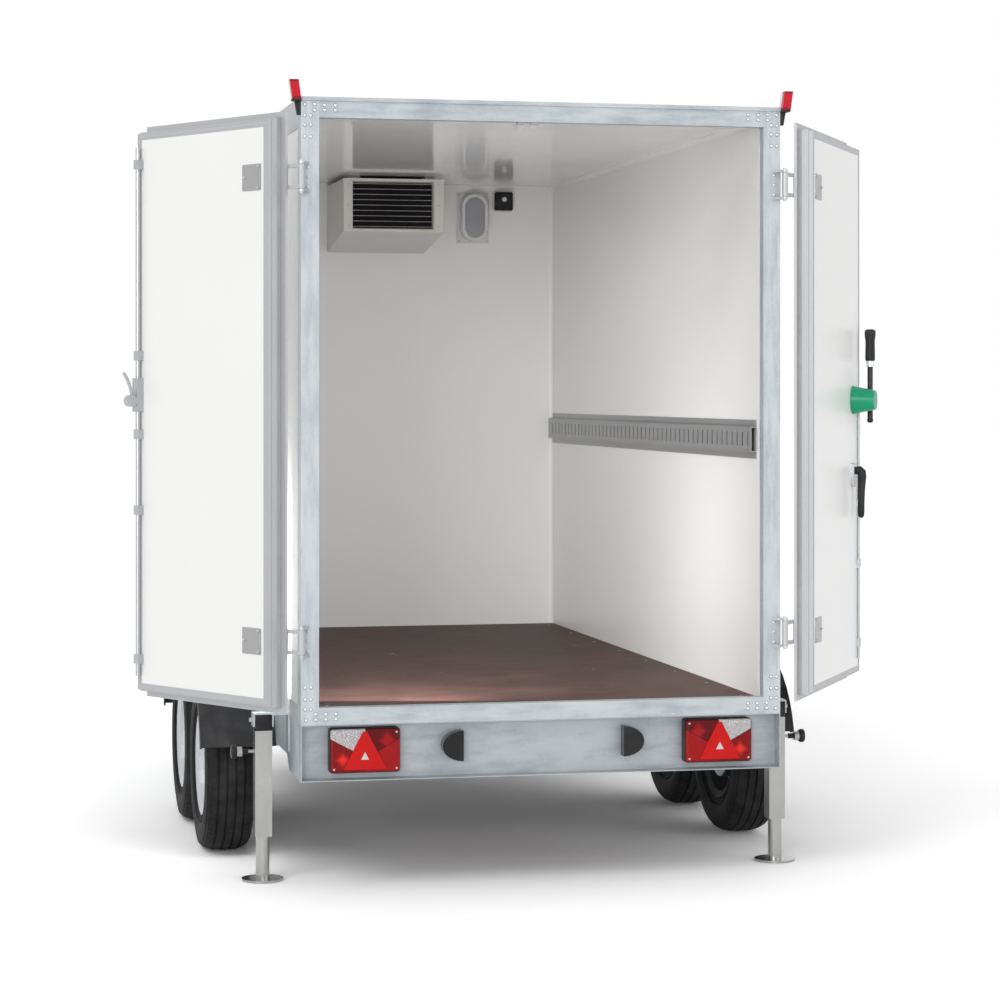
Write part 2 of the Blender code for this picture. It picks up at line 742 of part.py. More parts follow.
BRAKE_PIVOT_FROM_FRONT = 0.170
BRAKE_PIVOT_DROP = 0.040
BRAKE_LEAN_BACK = 0.230
BRAKE_HEIGHT = 0.380
BRAKE_PIVOT = (HOUSING_FRONT - BRAKE_PIVOT_FROM_FRONT, HOUSING_TOP - BRAKE_PIVOT_DROP)
BRAKE_TOP = (BRAKE_PIVOT[0] - BRAKE_LEAN_BACK, BRAKE_PIVOT[1] + BRAKE_HEIGHT)
BRAKE_PLATE = 0.008
BRAKE_PIVOT_RADIUS = 0.028
BRAKE_BAR = 0.010
BRAKE_GRIP = 0.016
BRAKE_GRIP_LENGTH = 0.130


def handbrake_lever():
    """Lever on the left side of the overrun housing, leaning back at rest."""
    inner = HOUSING_HALF + SEAT
    outer = inner + BRAKE_PLATE
    along, up = BRAKE_PIVOT
    boss = rod((-inner, along, up), (-outer - BRAKE_BAR, along, up), BRAKE_PIVOT_RADIUS)
    middle = -outer - BRAKE_BAR / 2
    foot, top = Vector((middle, along, up)), Vector((middle, *BRAKE_TOP))
    lever = bent_bar([foot, top], BRAKE_BAR)
    grip_start = top - (top - foot).normalized() * BRAKE_GRIP_LENGTH
    return fused(boss, lever, rod(grip_start, top, BRAKE_GRIP, 12))


# Jockey wheel

JOCKEY_ACROSS = 0.130
JOCKEY_FROM_HOUSING_FRONT = 0.090
JOCKEY_ALONG = HOUSING_FRONT - JOCKEY_FROM_HOUSING_FRONT
JOCKEY_TUBE_RADIUS = 0.030
JOCKEY_BORE = 0.024
JOCKEY_TUBE_BELOW_HOUSING = 0.118
JOCKEY_TUBE_ABOVE_HOUSING = 0.260
JOCKEY_STEM_IN = 0.150
JOCKEY_TUBE_LOW = HOUSING_LOW - JOCKEY_TUBE_BELOW_HOUSING
JOCKEY_TUBE_TOP = HOUSING_TOP + JOCKEY_TUBE_ABOVE_HOUSING
JOCKEY_STEM_TOP = JOCKEY_TUBE_LOW + JOCKEY_STEM_IN
JOCKEY_CROWN_GAP = 0.022
JOCKEY_CROWN = JOCKEY_TUBE_LOW - JOCKEY_CROWN_GAP
JOCKEY_CROWN_THICKNESS = 0.008
JOCKEY_WHEEL_RADIUS = 0.100
JOCKEY_WHEEL_WIDTH = 0.050
JOCKEY_TRAIL = 0.045
JOCKEY_GAP = 0.006
JOCKEY_CHEEK = 0.005
JOCKEY_AXLE = 0.008
JOCKEY_CLAMP_DROP = 0.015
JOCKEY_CLAMP_LIFT = 0.027
JOCKEY_CLAMP = (HOUSING_LOW + JOCKEY_CLAMP_LIFT, HOUSING_TOP - JOCKEY_CLAMP_DROP)
JOCKEY_CLAMP_HALF = 0.036
CRANK_REACH = 0.110
CRANK_LIFT = 0.030
CRANK_GRIP = 0.070
CRANK_RADIUS = 0.007


def jockey_tube():
    """Outer tube with the clamp to the overrun housing and the crank on top."""
    centre = (JOCKEY_ACROSS, JOCKEY_ALONG)
    tube = rod((*centre, JOCKEY_TUBE_LOW), (*centre, JOCKEY_TUBE_TOP), JOCKEY_TUBE_RADIUS, 20)
    bore_top = JOCKEY_STEM_TOP + JOCKEY_CLAMP_HALF
    bore = rod((*centre, JOCKEY_TUBE_LOW - OVERRUN), (*centre, bore_top), JOCKEY_BORE, 20)
    clamp = block(
        (HOUSING_HALF + SEAT, JOCKEY_ACROSS),
        (JOCKEY_ALONG - JOCKEY_CLAMP_HALF, JOCKEY_ALONG + JOCKEY_CLAMP_HALF),
        JOCKEY_CLAMP,
    )
    arm_up = JOCKEY_TUBE_TOP + CRANK_LIFT
    spindle = rod((*centre, JOCKEY_TUBE_TOP - CRANK_LIFT), (*centre, arm_up), CRANK_RADIUS, 12)
    arm = block(
        (JOCKEY_ACROSS - 2 * CRANK_RADIUS, JOCKEY_ACROSS + 2 * CRANK_RADIUS),
        (JOCKEY_ALONG - CRANK_REACH, JOCKEY_ALONG + 2 * CRANK_RADIUS),
        (arm_up - CRANK_RADIUS, arm_up + SEAT),
    )
    elbow = (JOCKEY_ACROSS, JOCKEY_ALONG - CRANK_REACH + CRANK_RADIUS, arm_up - CRANK_RADIUS / 2)
    handle = rod(elbow, (*elbow[:2], arm_up + CRANK_GRIP), 2 * CRANK_RADIUS - OVERRUN, 12)
    return fused(cut(fused(tube, clamp), bore), spindle, arm, handle)


def jockey_fork():
    """Stem in the tube, crown and two cheeks down to the axle, about the swivel axis."""
    half = JOCKEY_WHEEL_WIDTH / 2 + JOCKEY_GAP
    stem = rod((0, 0, JOCKEY_CROWN), (0, 0, JOCKEY_STEM_TOP), JOCKEY_BORE - 2 * SEAT, 20)
    back, front = -JOCKEY_TRAIL - JOCKEY_TUBE_RADIUS, JOCKEY_TUBE_RADIUS
    crown_low = JOCKEY_CROWN - JOCKEY_CROWN_THICKNESS
    outer = half + JOCKEY_CHEEK
    crown = block((-outer, outer), (back, front), (crown_low, JOCKEY_CROWN + OVERRUN))
    axle_up = JOCKEY_WHEEL_RADIUS
    eye = arc((-JOCKEY_TRAIL, axle_up), 2 * JOCKEY_AXLE, math.pi, 2 * math.pi, 7)
    outline = [(front, crown_low + OVERRUN), (back, crown_low + OVERRUN), *eye]
    cheeks = [extruded(outline, *span(side, half, outer), "X") for _, side in SIDES]
    axle = rod((-half, -JOCKEY_TRAIL, axle_up), (half, -JOCKEY_TRAIL, axle_up), JOCKEY_AXLE, 16)
    return fused(crown, stem, *cheeks, axle)


def jockey_wheel():
    """Solid rubber wheel with a bored hub, about its own axle along Z."""
    half, radius = JOCKEY_WHEEL_WIDTH / 2, JOCKEY_WHEEL_RADIUS
    bore = JOCKEY_AXLE + 2 * SEAT
    shoulder = radius - JOCKEY_GAP
    recess = radius / 2
    profile = [
        (bore, half),
        (recess, half - JOCKEY_CHEEK),
        (shoulder, half - JOCKEY_CHEEK),
        (radius, half - 2 * JOCKEY_CHEEK),
        (radius, -half + 2 * JOCKEY_CHEEK),
        (shoulder, -half + JOCKEY_CHEEK),
        (recess, -half + JOCKEY_CHEEK),
        (bore, -half),
    ]
    return along_x(turned(profile, 20, True), 1)


# Road wheels and axles

TYRE_BEAD = 0.1803
TYRE_SHARES = (
    (0.0, 0.72),
    (0.125, 0.74),
    (0.48, 1.0),
    (0.72, 0.975),
    (0.88, 0.87),
    (0.965, 0.71),
    (1.0, 0.48),
)
TYRE_WIDTH = 0.185
FLANGE_RADIUS = 0.196
FLANGE_OUT = 0.079
RIM_STEP = 0.005
WELL_RADIUS = 0.162
WELL_HALF = 0.024
DISC_EDGE = 0.150
DISC_FACE = 0.034
DISC_DISH = 0.048
HUB_CAP_RADIUS = 0.030
HUB_CAP_OUT = 0.074
DRUM_RADIUS = 0.115
DRUM_IN = 0.060
SPINDLE_RADIUS = 0.020
SPINDLE_CLEARANCE = 0.0006
SPINDLE_REACH = 0.010


def tyre():
    """Closed tyre section turned about its axle. The shares are of section height and half width."""
    half, height = TYRE_WIDTH / 2, TYRE_RADIUS - TYRE_BEAD
    outer = [(TYRE_BEAD + share * height, wide * half) for share, wide in TYRE_SHARES]
    inner = [(radius, -width) for radius, width in reversed(outer)]
    return turned([*outer, *inner], 32, True)


def rim():
    """Pressed disc, well base rim, hub cap and brake drum as one turned body, bored for its spindle."""
    seat = TYRE_BEAD - SEAT
    bore = SPINDLE_RADIUS + SPINDLE_CLEARANCE
    profile = [
        (0, HUB_CAP_OUT),
        (HUB_CAP_RADIUS, HUB_CAP_OUT - RIM_STEP),
        (HUB_CAP_RADIUS, DISC_DISH),
        (DISC_EDGE - HUB_CAP_RADIUS, DISC_DISH),
        (DISC_EDGE, DISC_FACE),
        (seat - 2 * RIM_STEP, FLANGE_OUT - 2 * RIM_STEP),
        (FLANGE_RADIUS, FLANGE_OUT),
        (FLANGE_RADIUS, FLANGE_OUT - RIM_STEP),
        (seat, FLANGE_OUT - 2 * RIM_STEP),
        (WELL_RADIUS, WELL_HALF),
        (WELL_RADIUS, -WELL_HALF),
        (seat, -FLANGE_OUT + 2 * RIM_STEP),
        (FLANGE_RADIUS, -FLANGE_OUT + RIM_STEP),
        (FLANGE_RADIUS, -FLANGE_OUT),
        (seat - 2 * RIM_STEP, -FLANGE_OUT + 2 * RIM_STEP),
        (WELL_RADIUS - RIM_STEP, 0),
        (DRUM_RADIUS, 0),
        (DRUM_RADIUS, -DRUM_IN),
        (bore, -DRUM_IN),
        (bore, SPINDLE_REACH),
        (0, SPINDLE_REACH),
    ]
    return turned(profile, 20, False)


AXLE_LEAD = 0.140
AXLE_TUBE = 0.070
ARM_THICKNESS = 0.024
ARM_INNER = PORTAL_HALF
ARM_OUTER = ARM_INNER + ARM_THICKNESS
ARM_EYE = 0.032
BACK_PLATE = 0.005
BACK_PLATE_RADIUS = 0.112
BACK_PLATE_GAP = 0.0055


def axle(along):
    """Square rubber torsion tube under the chassis beams, trailing arms, back plates and spindles."""
    half = AXLE_TUBE / 2
    middle = CHASSIS_BOTTOM - SEAT - half
    front = along + AXLE_LEAD
    shapes = []
    for _, side in SIDES:
        tube_eye = arc((front, middle), half, math.radians(-120), math.radians(90), 6)
        hub_eye = arc((along, TYRE_RADIUS), ARM_EYE, math.radians(90), math.radians(240), 6)
        shapes.append(extruded([*tube_eye, *hub_eye], *span(side, ARM_INNER, ARM_OUTER), "X"))
        drum_face = WHEEL_ACROSS - DRUM_IN - BACK_PLATE_GAP
        hub = (along, TYRE_RADIUS)
        plate = rod((side * (drum_face - BACK_PLATE), *hub), (side * drum_face, *hub), BACK_PLATE_RADIUS, 20)
        spindle_end = WHEEL_ACROSS + SPINDLE_REACH - SPINDLE_CLEARANCE
        spindle = rod((side * ARM_INNER, *hub), (side * spindle_end, *hub), SPINDLE_RADIUS, 16)
        shapes += [plate, spindle]
    low, high = middle - half, middle + half
    tube = block((-ARM_INNER - OVERRUN, ARM_INNER + OVERRUN), (front - half, front + half), (low, high))
    return fused(tube, *shapes)


def running_gear(trailer, rubber, steel, silver):
    rows = (("rear", REAR_WHEEL), ("front", REAR_WHEEL + WHEEL_SPACING))
    for row, along in rows:
        piece("axle_" + row, axle(along), steel, trailer)
        for word, side in SIDES:
            centre = (side * WHEEL_ACROSS, along, TYRE_RADIUS)
            hub = anchor("hub_" + row + "_" + word, centre, parent=trailer)
            piece("tyre_" + row + "_" + word, along_x(tyre(), side), rubber, hub)
            piece("rim_" + row + "_" + word, along_x(rim(), side), silver, hub)


# Mudguards

GUARD_CLEARANCE = 0.050
GUARD_RADIUS = TYRE_RADIUS + GUARD_CLEARANCE
GUARD_THICKNESS = 0.004
GUARD_OVER_WHEEL = 0.118
GUARD_OUTER = WHEEL_ACROSS + GUARD_OVER_WHEEL
GUARD_LIP = 0.034
GUARD_EDGE = 0.006
GUARD_END_ABOVE_HUB = 0.101


def guard_path(radius, ends):
    """Side view of a tandem mudguard: two arcs about the wheel centres and a flat top."""
    front_wheel = REAR_WHEEL + WHEEL_SPACING
    front = arc((front_wheel, TYRE_RADIUS), radius, ends, math.pi / 2, 9)
    rear = arc((REAR_WHEEL, TYRE_RADIUS), radius, math.pi / 2, math.pi - ends, 9)
    return [*front, *rear]


def mudguard(side):
    """Plastic shell over both wheels of one side with a lip along its outer edge."""
    ends = math.asin(GUARD_END_ABOVE_HUB / GUARD_RADIUS)
    outer = guard_path(GUARD_RADIUS, ends)
    inner = guard_path(GUARD_RADIUS - GUARD_THICKNESS, ends)
    lip = guard_path(GUARD_RADIUS - GUARD_LIP, ends)
    top = extruded([*outer, *reversed(inner)], *span(side, WALL_OUTER + SEAT, GUARD_OUTER), "X")
    edge = extruded([*outer, *reversed(lip)], *span(side, GUARD_OUTER - GUARD_EDGE, GUARD_OUTER), "X")
    return fused(top, edge)


# Prop legs

TUBE_LENGTH = 0.3713
TUBE_BOTTOM = CLAMP_BOTTOM - TUBE_LENGTH
TUBE_WALL = 0.003
FOOT_TUBE_RADIUS = 0.0245
FOOT_RADIUS = 0.074
FOOT_THICKNESS = 0.008
SCREW_DROP = 0.0743
SCREW_UP = CLAMP_BOTTOM - SCREW_DROP
SCREW_RADIUS = 0.006
SCREW_LENGTH = 0.045
KNOB_RADIUS = 0.017
KNOB_LENGTH = 0.036


def prop_leg(side):
    """Square tube with a round foot tube in it, its foot plate and its clamp screw with a knob."""
    half = LEG_TUBE / 2
    top = CLAMP_BOTTOM - SEAT
    centre = (side * LEG_ACROSS, LEG_ALONG)
    around = (span(side, LEG_ACROSS - half, LEG_ACROSS + half), (LEG_ALONG - half, LEG_ALONG + half))
    tube = block(*around, (TUBE_BOTTOM, top))
    bore = half - TUBE_WALL
    inside = block(
        span(side, LEG_ACROSS - bore, LEG_ACROSS + bore),
        (LEG_ALONG - bore, LEG_ALONG + bore),
        (TUBE_BOTTOM - OVERRUN, TUBE_BOTTOM + LEG_TUBE),
    )
    foot_tube = rod((*centre, FOOT_THICKNESS / 2), (*centre, TUBE_BOTTOM + 2 * LEG_TUBE), FOOT_TUBE_RADIUS, 20)
    foot = rod((*centre, 0), (*centre, FOOT_THICKNESS), FOOT_RADIUS, 28)
    face = LEG_ACROSS + half
    screw_end = face + SCREW_LENGTH
    screw = rod(
        (side * (face - OVERRUN), LEG_ALONG, SCREW_UP), (side * screw_end, LEG_ALONG, SCREW_UP), SCREW_RADIUS, 12
    )
    knob = rod(
        (side * (screw_end - OVERRUN), LEG_ALONG, SCREW_UP),
        (side * (screw_end + KNOB_LENGTH), LEG_ALONG, SCREW_UP),
        KNOB_RADIUS,
        16,
    )
    return fused(cut(tube, inside), foot_tube, foot, screw, knob)


def clamp_block(side):
    """Black block on top of the leg, between the ears of its bracket."""
    half = LEG_TUBE / 2
    return rounded(
        block(
            span(side, LEG_ACROSS - half, LEG_ACROSS + half),
            (LEG_ALONG - half, LEG_ALONG + half),
            (CLAMP_BOTTOM, CLAMP_TOP),
        ),
        TUBE_WALL,
        1,
    )


# Fittings inside the load space

RAIL_ABOVE_FLOOR = 0.843
RAIL_HEIGHT = 0.138
RAIL_LOW = FLOOR_TOP + RAIL_ABOVE_FLOOR
RAIL_HIGH = RAIL_LOW + RAIL_HEIGHT
RAIL_FLANGE = 0.024
RAIL_SHEET = 0.003
RAIL_DEPTH = 0.022
RAIL_BEHIND_RETURN = 0.027
RAIL_REAR = RETURN_DEPTH + RAIL_BEHIND_RETURN
LEFT_RAIL_INSET = 0.150
RAIL_FRONT_GAP = 0.006
RAIL_SLOT = (0.012, 0.050)
RAIL_SLOT_PITCH = 0.062


def cargo_rail(side):
    """Hat section lashing rail along the side wall, with a row of upright slots."""
    wall = WALL_INNER - SEAT
    face = wall - RAIL_DEPTH
    low, high = RAIL_LOW + RAIL_FLANGE, RAIL_HIGH - RAIL_FLANGE
    sheet = RAIL_SHEET
    folded = [
        (wall, RAIL_LOW),
        (wall - sheet, RAIL_LOW),
        (wall - sheet, low),
        (face, low),
        (face, high),
        (wall - sheet, high),
        (wall - sheet, RAIL_HIGH),
        (wall, RAIL_HIGH),
        (wall, high - sheet),
        (face + sheet, high - sheet),
        (face + sheet, low + sheet),
        (wall, low + sheet),
    ]
    rear = RAIL_REAR + (LEFT_RAIL_INSET if side < 0 else 0)
    front = FRONT_INNER - RAIL_FRONT_GAP
    rail = extruded(mirrored(folded, side), rear, front, "Y")
    width, height = RAIL_SLOT
    middle = (low + high) / 2
    count = int((front - rear) / RAIL_SLOT_PITCH)
    slots = [
        block(
            span(side, face - OVERRUN, face + sheet + OVERRUN),
            (rear + (i + 0.5) * RAIL_SLOT_PITCH, rear + (i + 0.5) * RAIL_SLOT_PITCH + width),
            (middle - height / 2, middle + height / 2),
        )
        for i in range(count)
    ]
    return cut(rail, *slots)


EVAPORATOR_ACROSS = (-0.277, 0.176)
EVAPORATOR_DEPTH = 0.480
EVAPORATOR_HANG = 0.0145
EVAPORATOR_FRONT_HEIGHT = 0.2355
EVAPORATOR_TRAY_FALL = 0.069
EVAPORATOR_TOP = CEILING - EVAPORATOR_HANG
EVAPORATOR_FRONT_LOW = EVAPORATOR_TOP - EVAPORATOR_FRONT_HEIGHT
EVAPORATOR_WALL_LOW = EVAPORATOR_FRONT_LOW - EVAPORATOR_TRAY_FALL
GRILLE_FROM_LEFT = 0.041
GRILLE_FROM_RIGHT = 0.048
GRILLE_ACROSS = (EVAPORATOR_ACROSS[0] + GRILLE_FROM_LEFT, EVAPORATOR_ACROSS[1] - GRILLE_FROM_RIGHT)
GRILLE_FROM_TOP = 0.0125
GRILLE_FROM_LOW = 0.013
GRILLE_UP = (EVAPORATOR_FRONT_LOW + GRILLE_FROM_LOW, EVAPORATOR_TOP - GRILLE_FROM_TOP)
GRILLE_DEPTH = 0.024
GRILLE_WIRES = 9
WIRE_RADIUS = 0.003
GRILLE_RIM = 0.008
HANGER_WIDTH = 0.040


def evaporator_front():
    return FRONT_INNER - SEAT - EVAPORATOR_DEPTH


def evaporator():
    """Housing under the ceiling against the front wall, with a sloping tray and a recess for the grille."""
    back, front = FRONT_INNER - SEAT, evaporator_front()
    outline = [
        (front, EVAPORATOR_FRONT_LOW),
        (back, EVAPORATOR_WALL_LOW),
        (back, EVAPORATOR_TOP),
        (front, EVAPORATOR_TOP),
    ]
    housing = rounded(extruded(outline, *EVAPORATOR_ACROSS, "X"), RAIL_SHEET, 1)
    left, right = EVAPORATOR_ACROSS
    hangers = [
        block((start, start + HANGER_WIDTH), (front + HANGER_WIDTH, back), (EVAPORATOR_TOP - OVERRUN, CEILING - SEAT))
        for start in (left + HANGER_WIDTH, right - 2 * HANGER_WIDTH)
    ]
    recess = block(GRILLE_ACROSS, (front - OVERRUN, front + GRILLE_DEPTH), GRILLE_UP)
    return cut(fused(housing, *hangers), recess)


def evaporator_grille():
    """Wire guard in the recess: a rim, cross wires and two uprights."""
    front = evaporator_front()
    left, right = GRILLE_ACROSS[0] + SEAT, GRILLE_ACROSS[1] - SEAT
    low, high = GRILLE_UP[0] + SEAT, GRILLE_UP[1] - SEAT
    plate = block((left, right), (front + SEAT, front + GRILLE_RIM), (low, high))
    hole = block(
        (left + GRILLE_RIM, right - GRILLE_RIM),
        (front, front + GRILLE_DEPTH),
        (low + GRILLE_RIM, high - GRILLE_RIM),
    )
    depth = front + GRILLE_RIM / 2
    pitch = (high - low - GRILLE_RIM) / (GRILLE_WIRES + 1)
    heights = [low + GRILLE_RIM / 2 + pitch * (i + 1) for i in range(GRILLE_WIRES)]
    inside = GRILLE_RIM / 2
    wires = [rod((left + inside, depth, z), (right - inside, depth, z), WIRE_RADIUS, 4) for z in heights]
    third = (right - left) / 3
    uprights = [
        rod((x, depth + SEAT, low + inside), (x, depth + SEAT, high - inside), WIRE_RADIUS, 4)
        for x in (left + third, right - third)
    ]
    return fused(cut(plate, hole), *wires, *uprights)


BULKHEAD_ACROSS = 0.405
BULKHEAD_DROP = 0.152
BULKHEAD_UP = CEILING - BULKHEAD_DROP
BULKHEAD_WIDTH = 0.125
BULKHEAD_HEIGHT = 0.220
BULKHEAD_DEPTH = 0.055
BULKHEAD_PLATE = (0.150, 0.235)
BULKHEAD_PLATE_DEPTH = 0.006


def bulkhead_lamp():
    """Oval lamp on its backing plate, on the front wall."""
    wall = FRONT_INNER - SEAT
    radius = BULKHEAD_WIDTH / 2
    straight = BULKHEAD_HEIGHT / 2 - radius
    top = arc((BULKHEAD_ACROSS, BULKHEAD_UP + straight), radius, 0, math.pi, 11)
    bottom = arc((BULKHEAD_ACROSS, BULKHEAD_UP - straight), radius, math.pi, 2 * math.pi, 11)
    lamp = extruded([*top, *bottom], wall - BULKHEAD_DEPTH, wall, "Y")
    width, height = BULKHEAD_PLATE
    plate = block(
        (BULKHEAD_ACROSS - width / 2, BULKHEAD_ACROSS + width / 2),
        (wall - BULKHEAD_PLATE_DEPTH, wall),
        (BULKHEAD_UP - height / 2, BULKHEAD_UP + height / 2),
    )
    return fused(plate, rounded(lamp, BULKHEAD_PLATE_DEPTH))


SWITCH_ACROSS = 0.545
SWITCH_DROP = 0.075
SWITCH_UP = CEILING - SWITCH_DROP
SWITCH_SIZE = 0.086
SWITCH_DEPTH = 0.050


def switch_box():
    wall = FRONT_INNER - SEAT
    half = SWITCH_SIZE / 2
    return rounded(
        block(
            (SWITCH_ACROSS - half, SWITCH_ACROSS + half),
            (wall - SWITCH_DEPTH, wall),
            (SWITCH_UP - half, SWITCH_UP + half),
        ),
        TAIL_LAMP_ROUND,
    )


CONDENSER_CENTRE = -0.050
CONDENSER_WIDTH = 0.640
CONDENSER_DROP = 0.129
CONDENSER_HEIGHT = 0.580
CONDENSER_TOP = CEILING - CONDENSER_DROP
CONDENSER_UP = (CONDENSER_TOP - CONDENSER_HEIGHT, CONDENSER_TOP)
CONDENSER_DEPTH = 0.360
CONDENSER_SLOPE = 0.080
LOUVRE_COUNT = 7
LOUVRE_DEPTH = 0.020
LOUVRE_MARGIN = 0.060
LOUVRE_THICKNESS = 0.014


def condensing_unit():
    """Housing of the cooling machine on the outside of the front wall, with louvres in its front."""
    back = BODY_FRONT + SEAT
    front = back + CONDENSER_DEPTH
    low, high = CONDENSER_UP
    outline = [
        (back, low),
        (front - CONDENSER_SLOPE, low),
        (front, low + CONDENSER_SLOPE),
        (front, high - CONDENSER_SLOPE),
        (front - CONDENSER_SLOPE, high),
        (back, high),
    ]
    left = CONDENSER_CENTRE - CONDENSER_WIDTH / 2
    right = CONDENSER_CENTRE + CONDENSER_WIDTH / 2
    housing = rounded(extruded(outline, left, right, "X"), TAIL_LAMP_ROUND, 1)
    first = low + CONDENSER_SLOPE + LOUVRE_DEPTH
    pitch = (high - low - 2 * CONDENSER_SLOPE - LOUVRE_DEPTH) / LOUVRE_COUNT
    slots = [
        block(
            (left + LOUVRE_MARGIN, right - LOUVRE_MARGIN),
            (front - LOUVRE_DEPTH, front + OVERRUN),
            (first + i * pitch, first + (i + 1) * pitch - LOUVRE_THICKNESS),
        )
        for i in range(LOUVRE_COUNT)
    ]
    return cut(housing, *slots)


# Doors, drawn shut about the hinge pin: along from the pin, then in towards the load

SKIN = 0.022
FLANGE_THICKNESS = 0.010
DOOR_THICKNESS = 0.060
FLANGE_HINGE = 0.046
PLUG_GAP = 0.006
FLANGE_OVERLAP = 0.0165
MEETING_GAP = 0.003
PLUG_MEETING_GAP = 0.010
FRAME_FACE = 0.030
STEP_DEPTH = 0.015
STEP_WIDTH = 0.006
LEAF_WIDTH = 0.050
PANEL_INSET = 0.0015


def slab(side, along, thick, up):
    """A box of a shut door: along from the pin, depth from the pin, and height."""
    return block(sorted((-side * along[0], -side * along[1])), thick, up)


def door_reach(side):
    """Distance along a shut door from its pin to where the doors meet."""
    return PIN_ACROSS - side * DOORS_MEET


def plug_start():
    return PIN_ACROSS - OPENING_HALF + PLUG_GAP


def panel_span(side):
    """Along and height of a door's panel inside its frame."""
    along = (plug_start() + FRAME_FACE, door_reach(side) - PLUG_MEETING_GAP - FRAME_FACE)
    up = (SILL_TOP + PLUG_GAP + FRAME_FACE, HEADER_BOTTOM - PLUG_GAP - FRAME_FACE)
    return along, up


def door_frame(side):
    """Stepped aluminium frame of a plug door with the door halves of its hinges."""
    reach = door_reach(side)
    inner_face = SKIN + DOOR_THICKNESS
    flange = slab(
        side,
        (FLANGE_HINGE, reach - MEETING_GAP),
        (SKIN, SKIN + FLANGE_THICKNESS),
        (SILL_TOP - FLANGE_OVERLAP, HEADER_BOTTOM + FLANGE_OVERLAP),
    )
    plug_along = (plug_start(), reach - PLUG_MEETING_GAP)
    plug_up = (SILL_TOP + PLUG_GAP, HEADER_BOTTOM - PLUG_GAP)
    plug = slab(side, plug_along, (SKIN, inner_face - STEP_DEPTH), plug_up)
    step = slab(
        side,
        (plug_along[0] + STEP_WIDTH, plug_along[1] - STEP_WIDTH),
        (SKIN, inner_face),
        (plug_up[0] + STEP_WIDTH, plug_up[1] - STEP_WIDTH),
    )
    along, up = panel_span(side)
    opening = slab(side, along, (SKIN - OVERRUN, inner_face + OVERRUN), up)
    ring = cut(fused(flange, plug, step), opening)
    halves = [shape for height in HINGE_HEIGHTS for shape in hinge_door_half(side, height)]
    return cut(fused(ring, *halves), *[hinge_bore(height) for height in HINGE_HEIGHTS])


def door_panel(side):
    """White sandwich panel in the frame."""
    along, up = panel_span(side)
    return slab(
        side,
        (along[0] + SEAT, along[1] - SEAT),
        (SKIN + PANEL_INSET, SKIN + DOOR_THICKNESS),
        (up[0] + SEAT, up[1] - SEAT),
    )


ROD_RADIUS = 0.008
ROD_STANDOFF = 0.016
ROD_FROM_EDGE = 0.022
ROD_FROM_END = 0.064
ROD_UP = (SILL_TOP + ROD_FROM_END, HEADER_BOTTOM - ROD_FROM_END)
LATCH_ABOVE_FLOOR = 1.070
LATCH_HEIGHT = 0.120
LATCH_MIDDLE = FLOOR_TOP + LATCH_ABOVE_FLOOR
LATCH_UP = (LATCH_MIDDLE - LATCH_HEIGHT / 2, LATCH_MIDDLE + LATCH_HEIGHT / 2)
GUIDE_FROM_ROD_END = 0.060
GUIDE_FROM_LATCH = 0.140
LOWER_GUIDE_FROM_LATCH = 0.410
GUIDE_HEIGHTS = (
    ROD_UP[0] + GUIDE_FROM_ROD_END,
    LATCH_MIDDLE - LOWER_GUIDE_FROM_LATCH,
    LATCH_MIDDLE - GUIDE_FROM_LATCH,
    LATCH_MIDDLE + GUIDE_FROM_LATCH,
    ROD_UP[1] - GUIDE_FROM_ROD_END,
)
GUIDE_SIZE = (0.026, 0.025, 0.034)
LATCH_HALF = 0.013
LATCH_OUT = 0.030
LATCH_BAR = 0.006
CLAW_CURVE_SHARES = ((0.6, -0.9), (1.0, -0.55), (1.35, -0.1), (1.65, 0.45), (2.1, 0.95), (2.6, 1.3))
ROLLER_RADIUS = 0.021
ROLLER_OUT = 0.048


def rod_and_guides(side, from_edge, radius, standoff, rod_up, guide_heights):
    """Bolt rod along the free edge of a door in its guides, as bodies to fuse."""
    along = door_reach(side) - PLUG_MEETING_GAP - STEP_WIDTH - from_edge
    face = SKIN + DOOR_THICKNESS + SEAT
    middle = (-side * along, face + standoff)
    width, depth, height = GUIDE_SIZE
    bar = rod((*middle, rod_up[0]), (*middle, rod_up[1]), radius)
    guides = [
        slab(
            side,
            (along - width / 2, along + width / 2),
            (face, face + min(depth, 2 * standoff)),
            (up - height / 2, up + height / 2),
        )
        for up in guide_heights
    ]
    return along, face, [bar, *guides]


def door_latch():
    """Cast lever latch of the left door with its bolt rod."""
    side = -1
    along, face, shapes = rod_and_guides(
        side, ROD_FROM_EDGE, ROD_RADIUS, ROD_STANDOFF, ROD_UP, GUIDE_HEIGHTS
    )
    body = slab(side, (along - LATCH_HALF, along + LATCH_HALF), (face, face + LATCH_OUT), LATCH_UP)
    x = -side * along
    claw = bent_bar(
        [
            (x, face + out * LATCH_OUT, LATCH_MIDDLE + up * LATCH_HEIGHT / 2)
            for out, up in CLAW_CURVE_SHARES
        ],
        LATCH_BAR,
    )
    pin = (face + ROLLER_OUT, LATCH_MIDDLE - ROLLER_RADIUS)
    roller = rod((x - LATCH_HALF, *pin), (x + LATCH_HALF, *pin), ROLLER_RADIUS)
    return fused(body, *shapes, claw, roller)


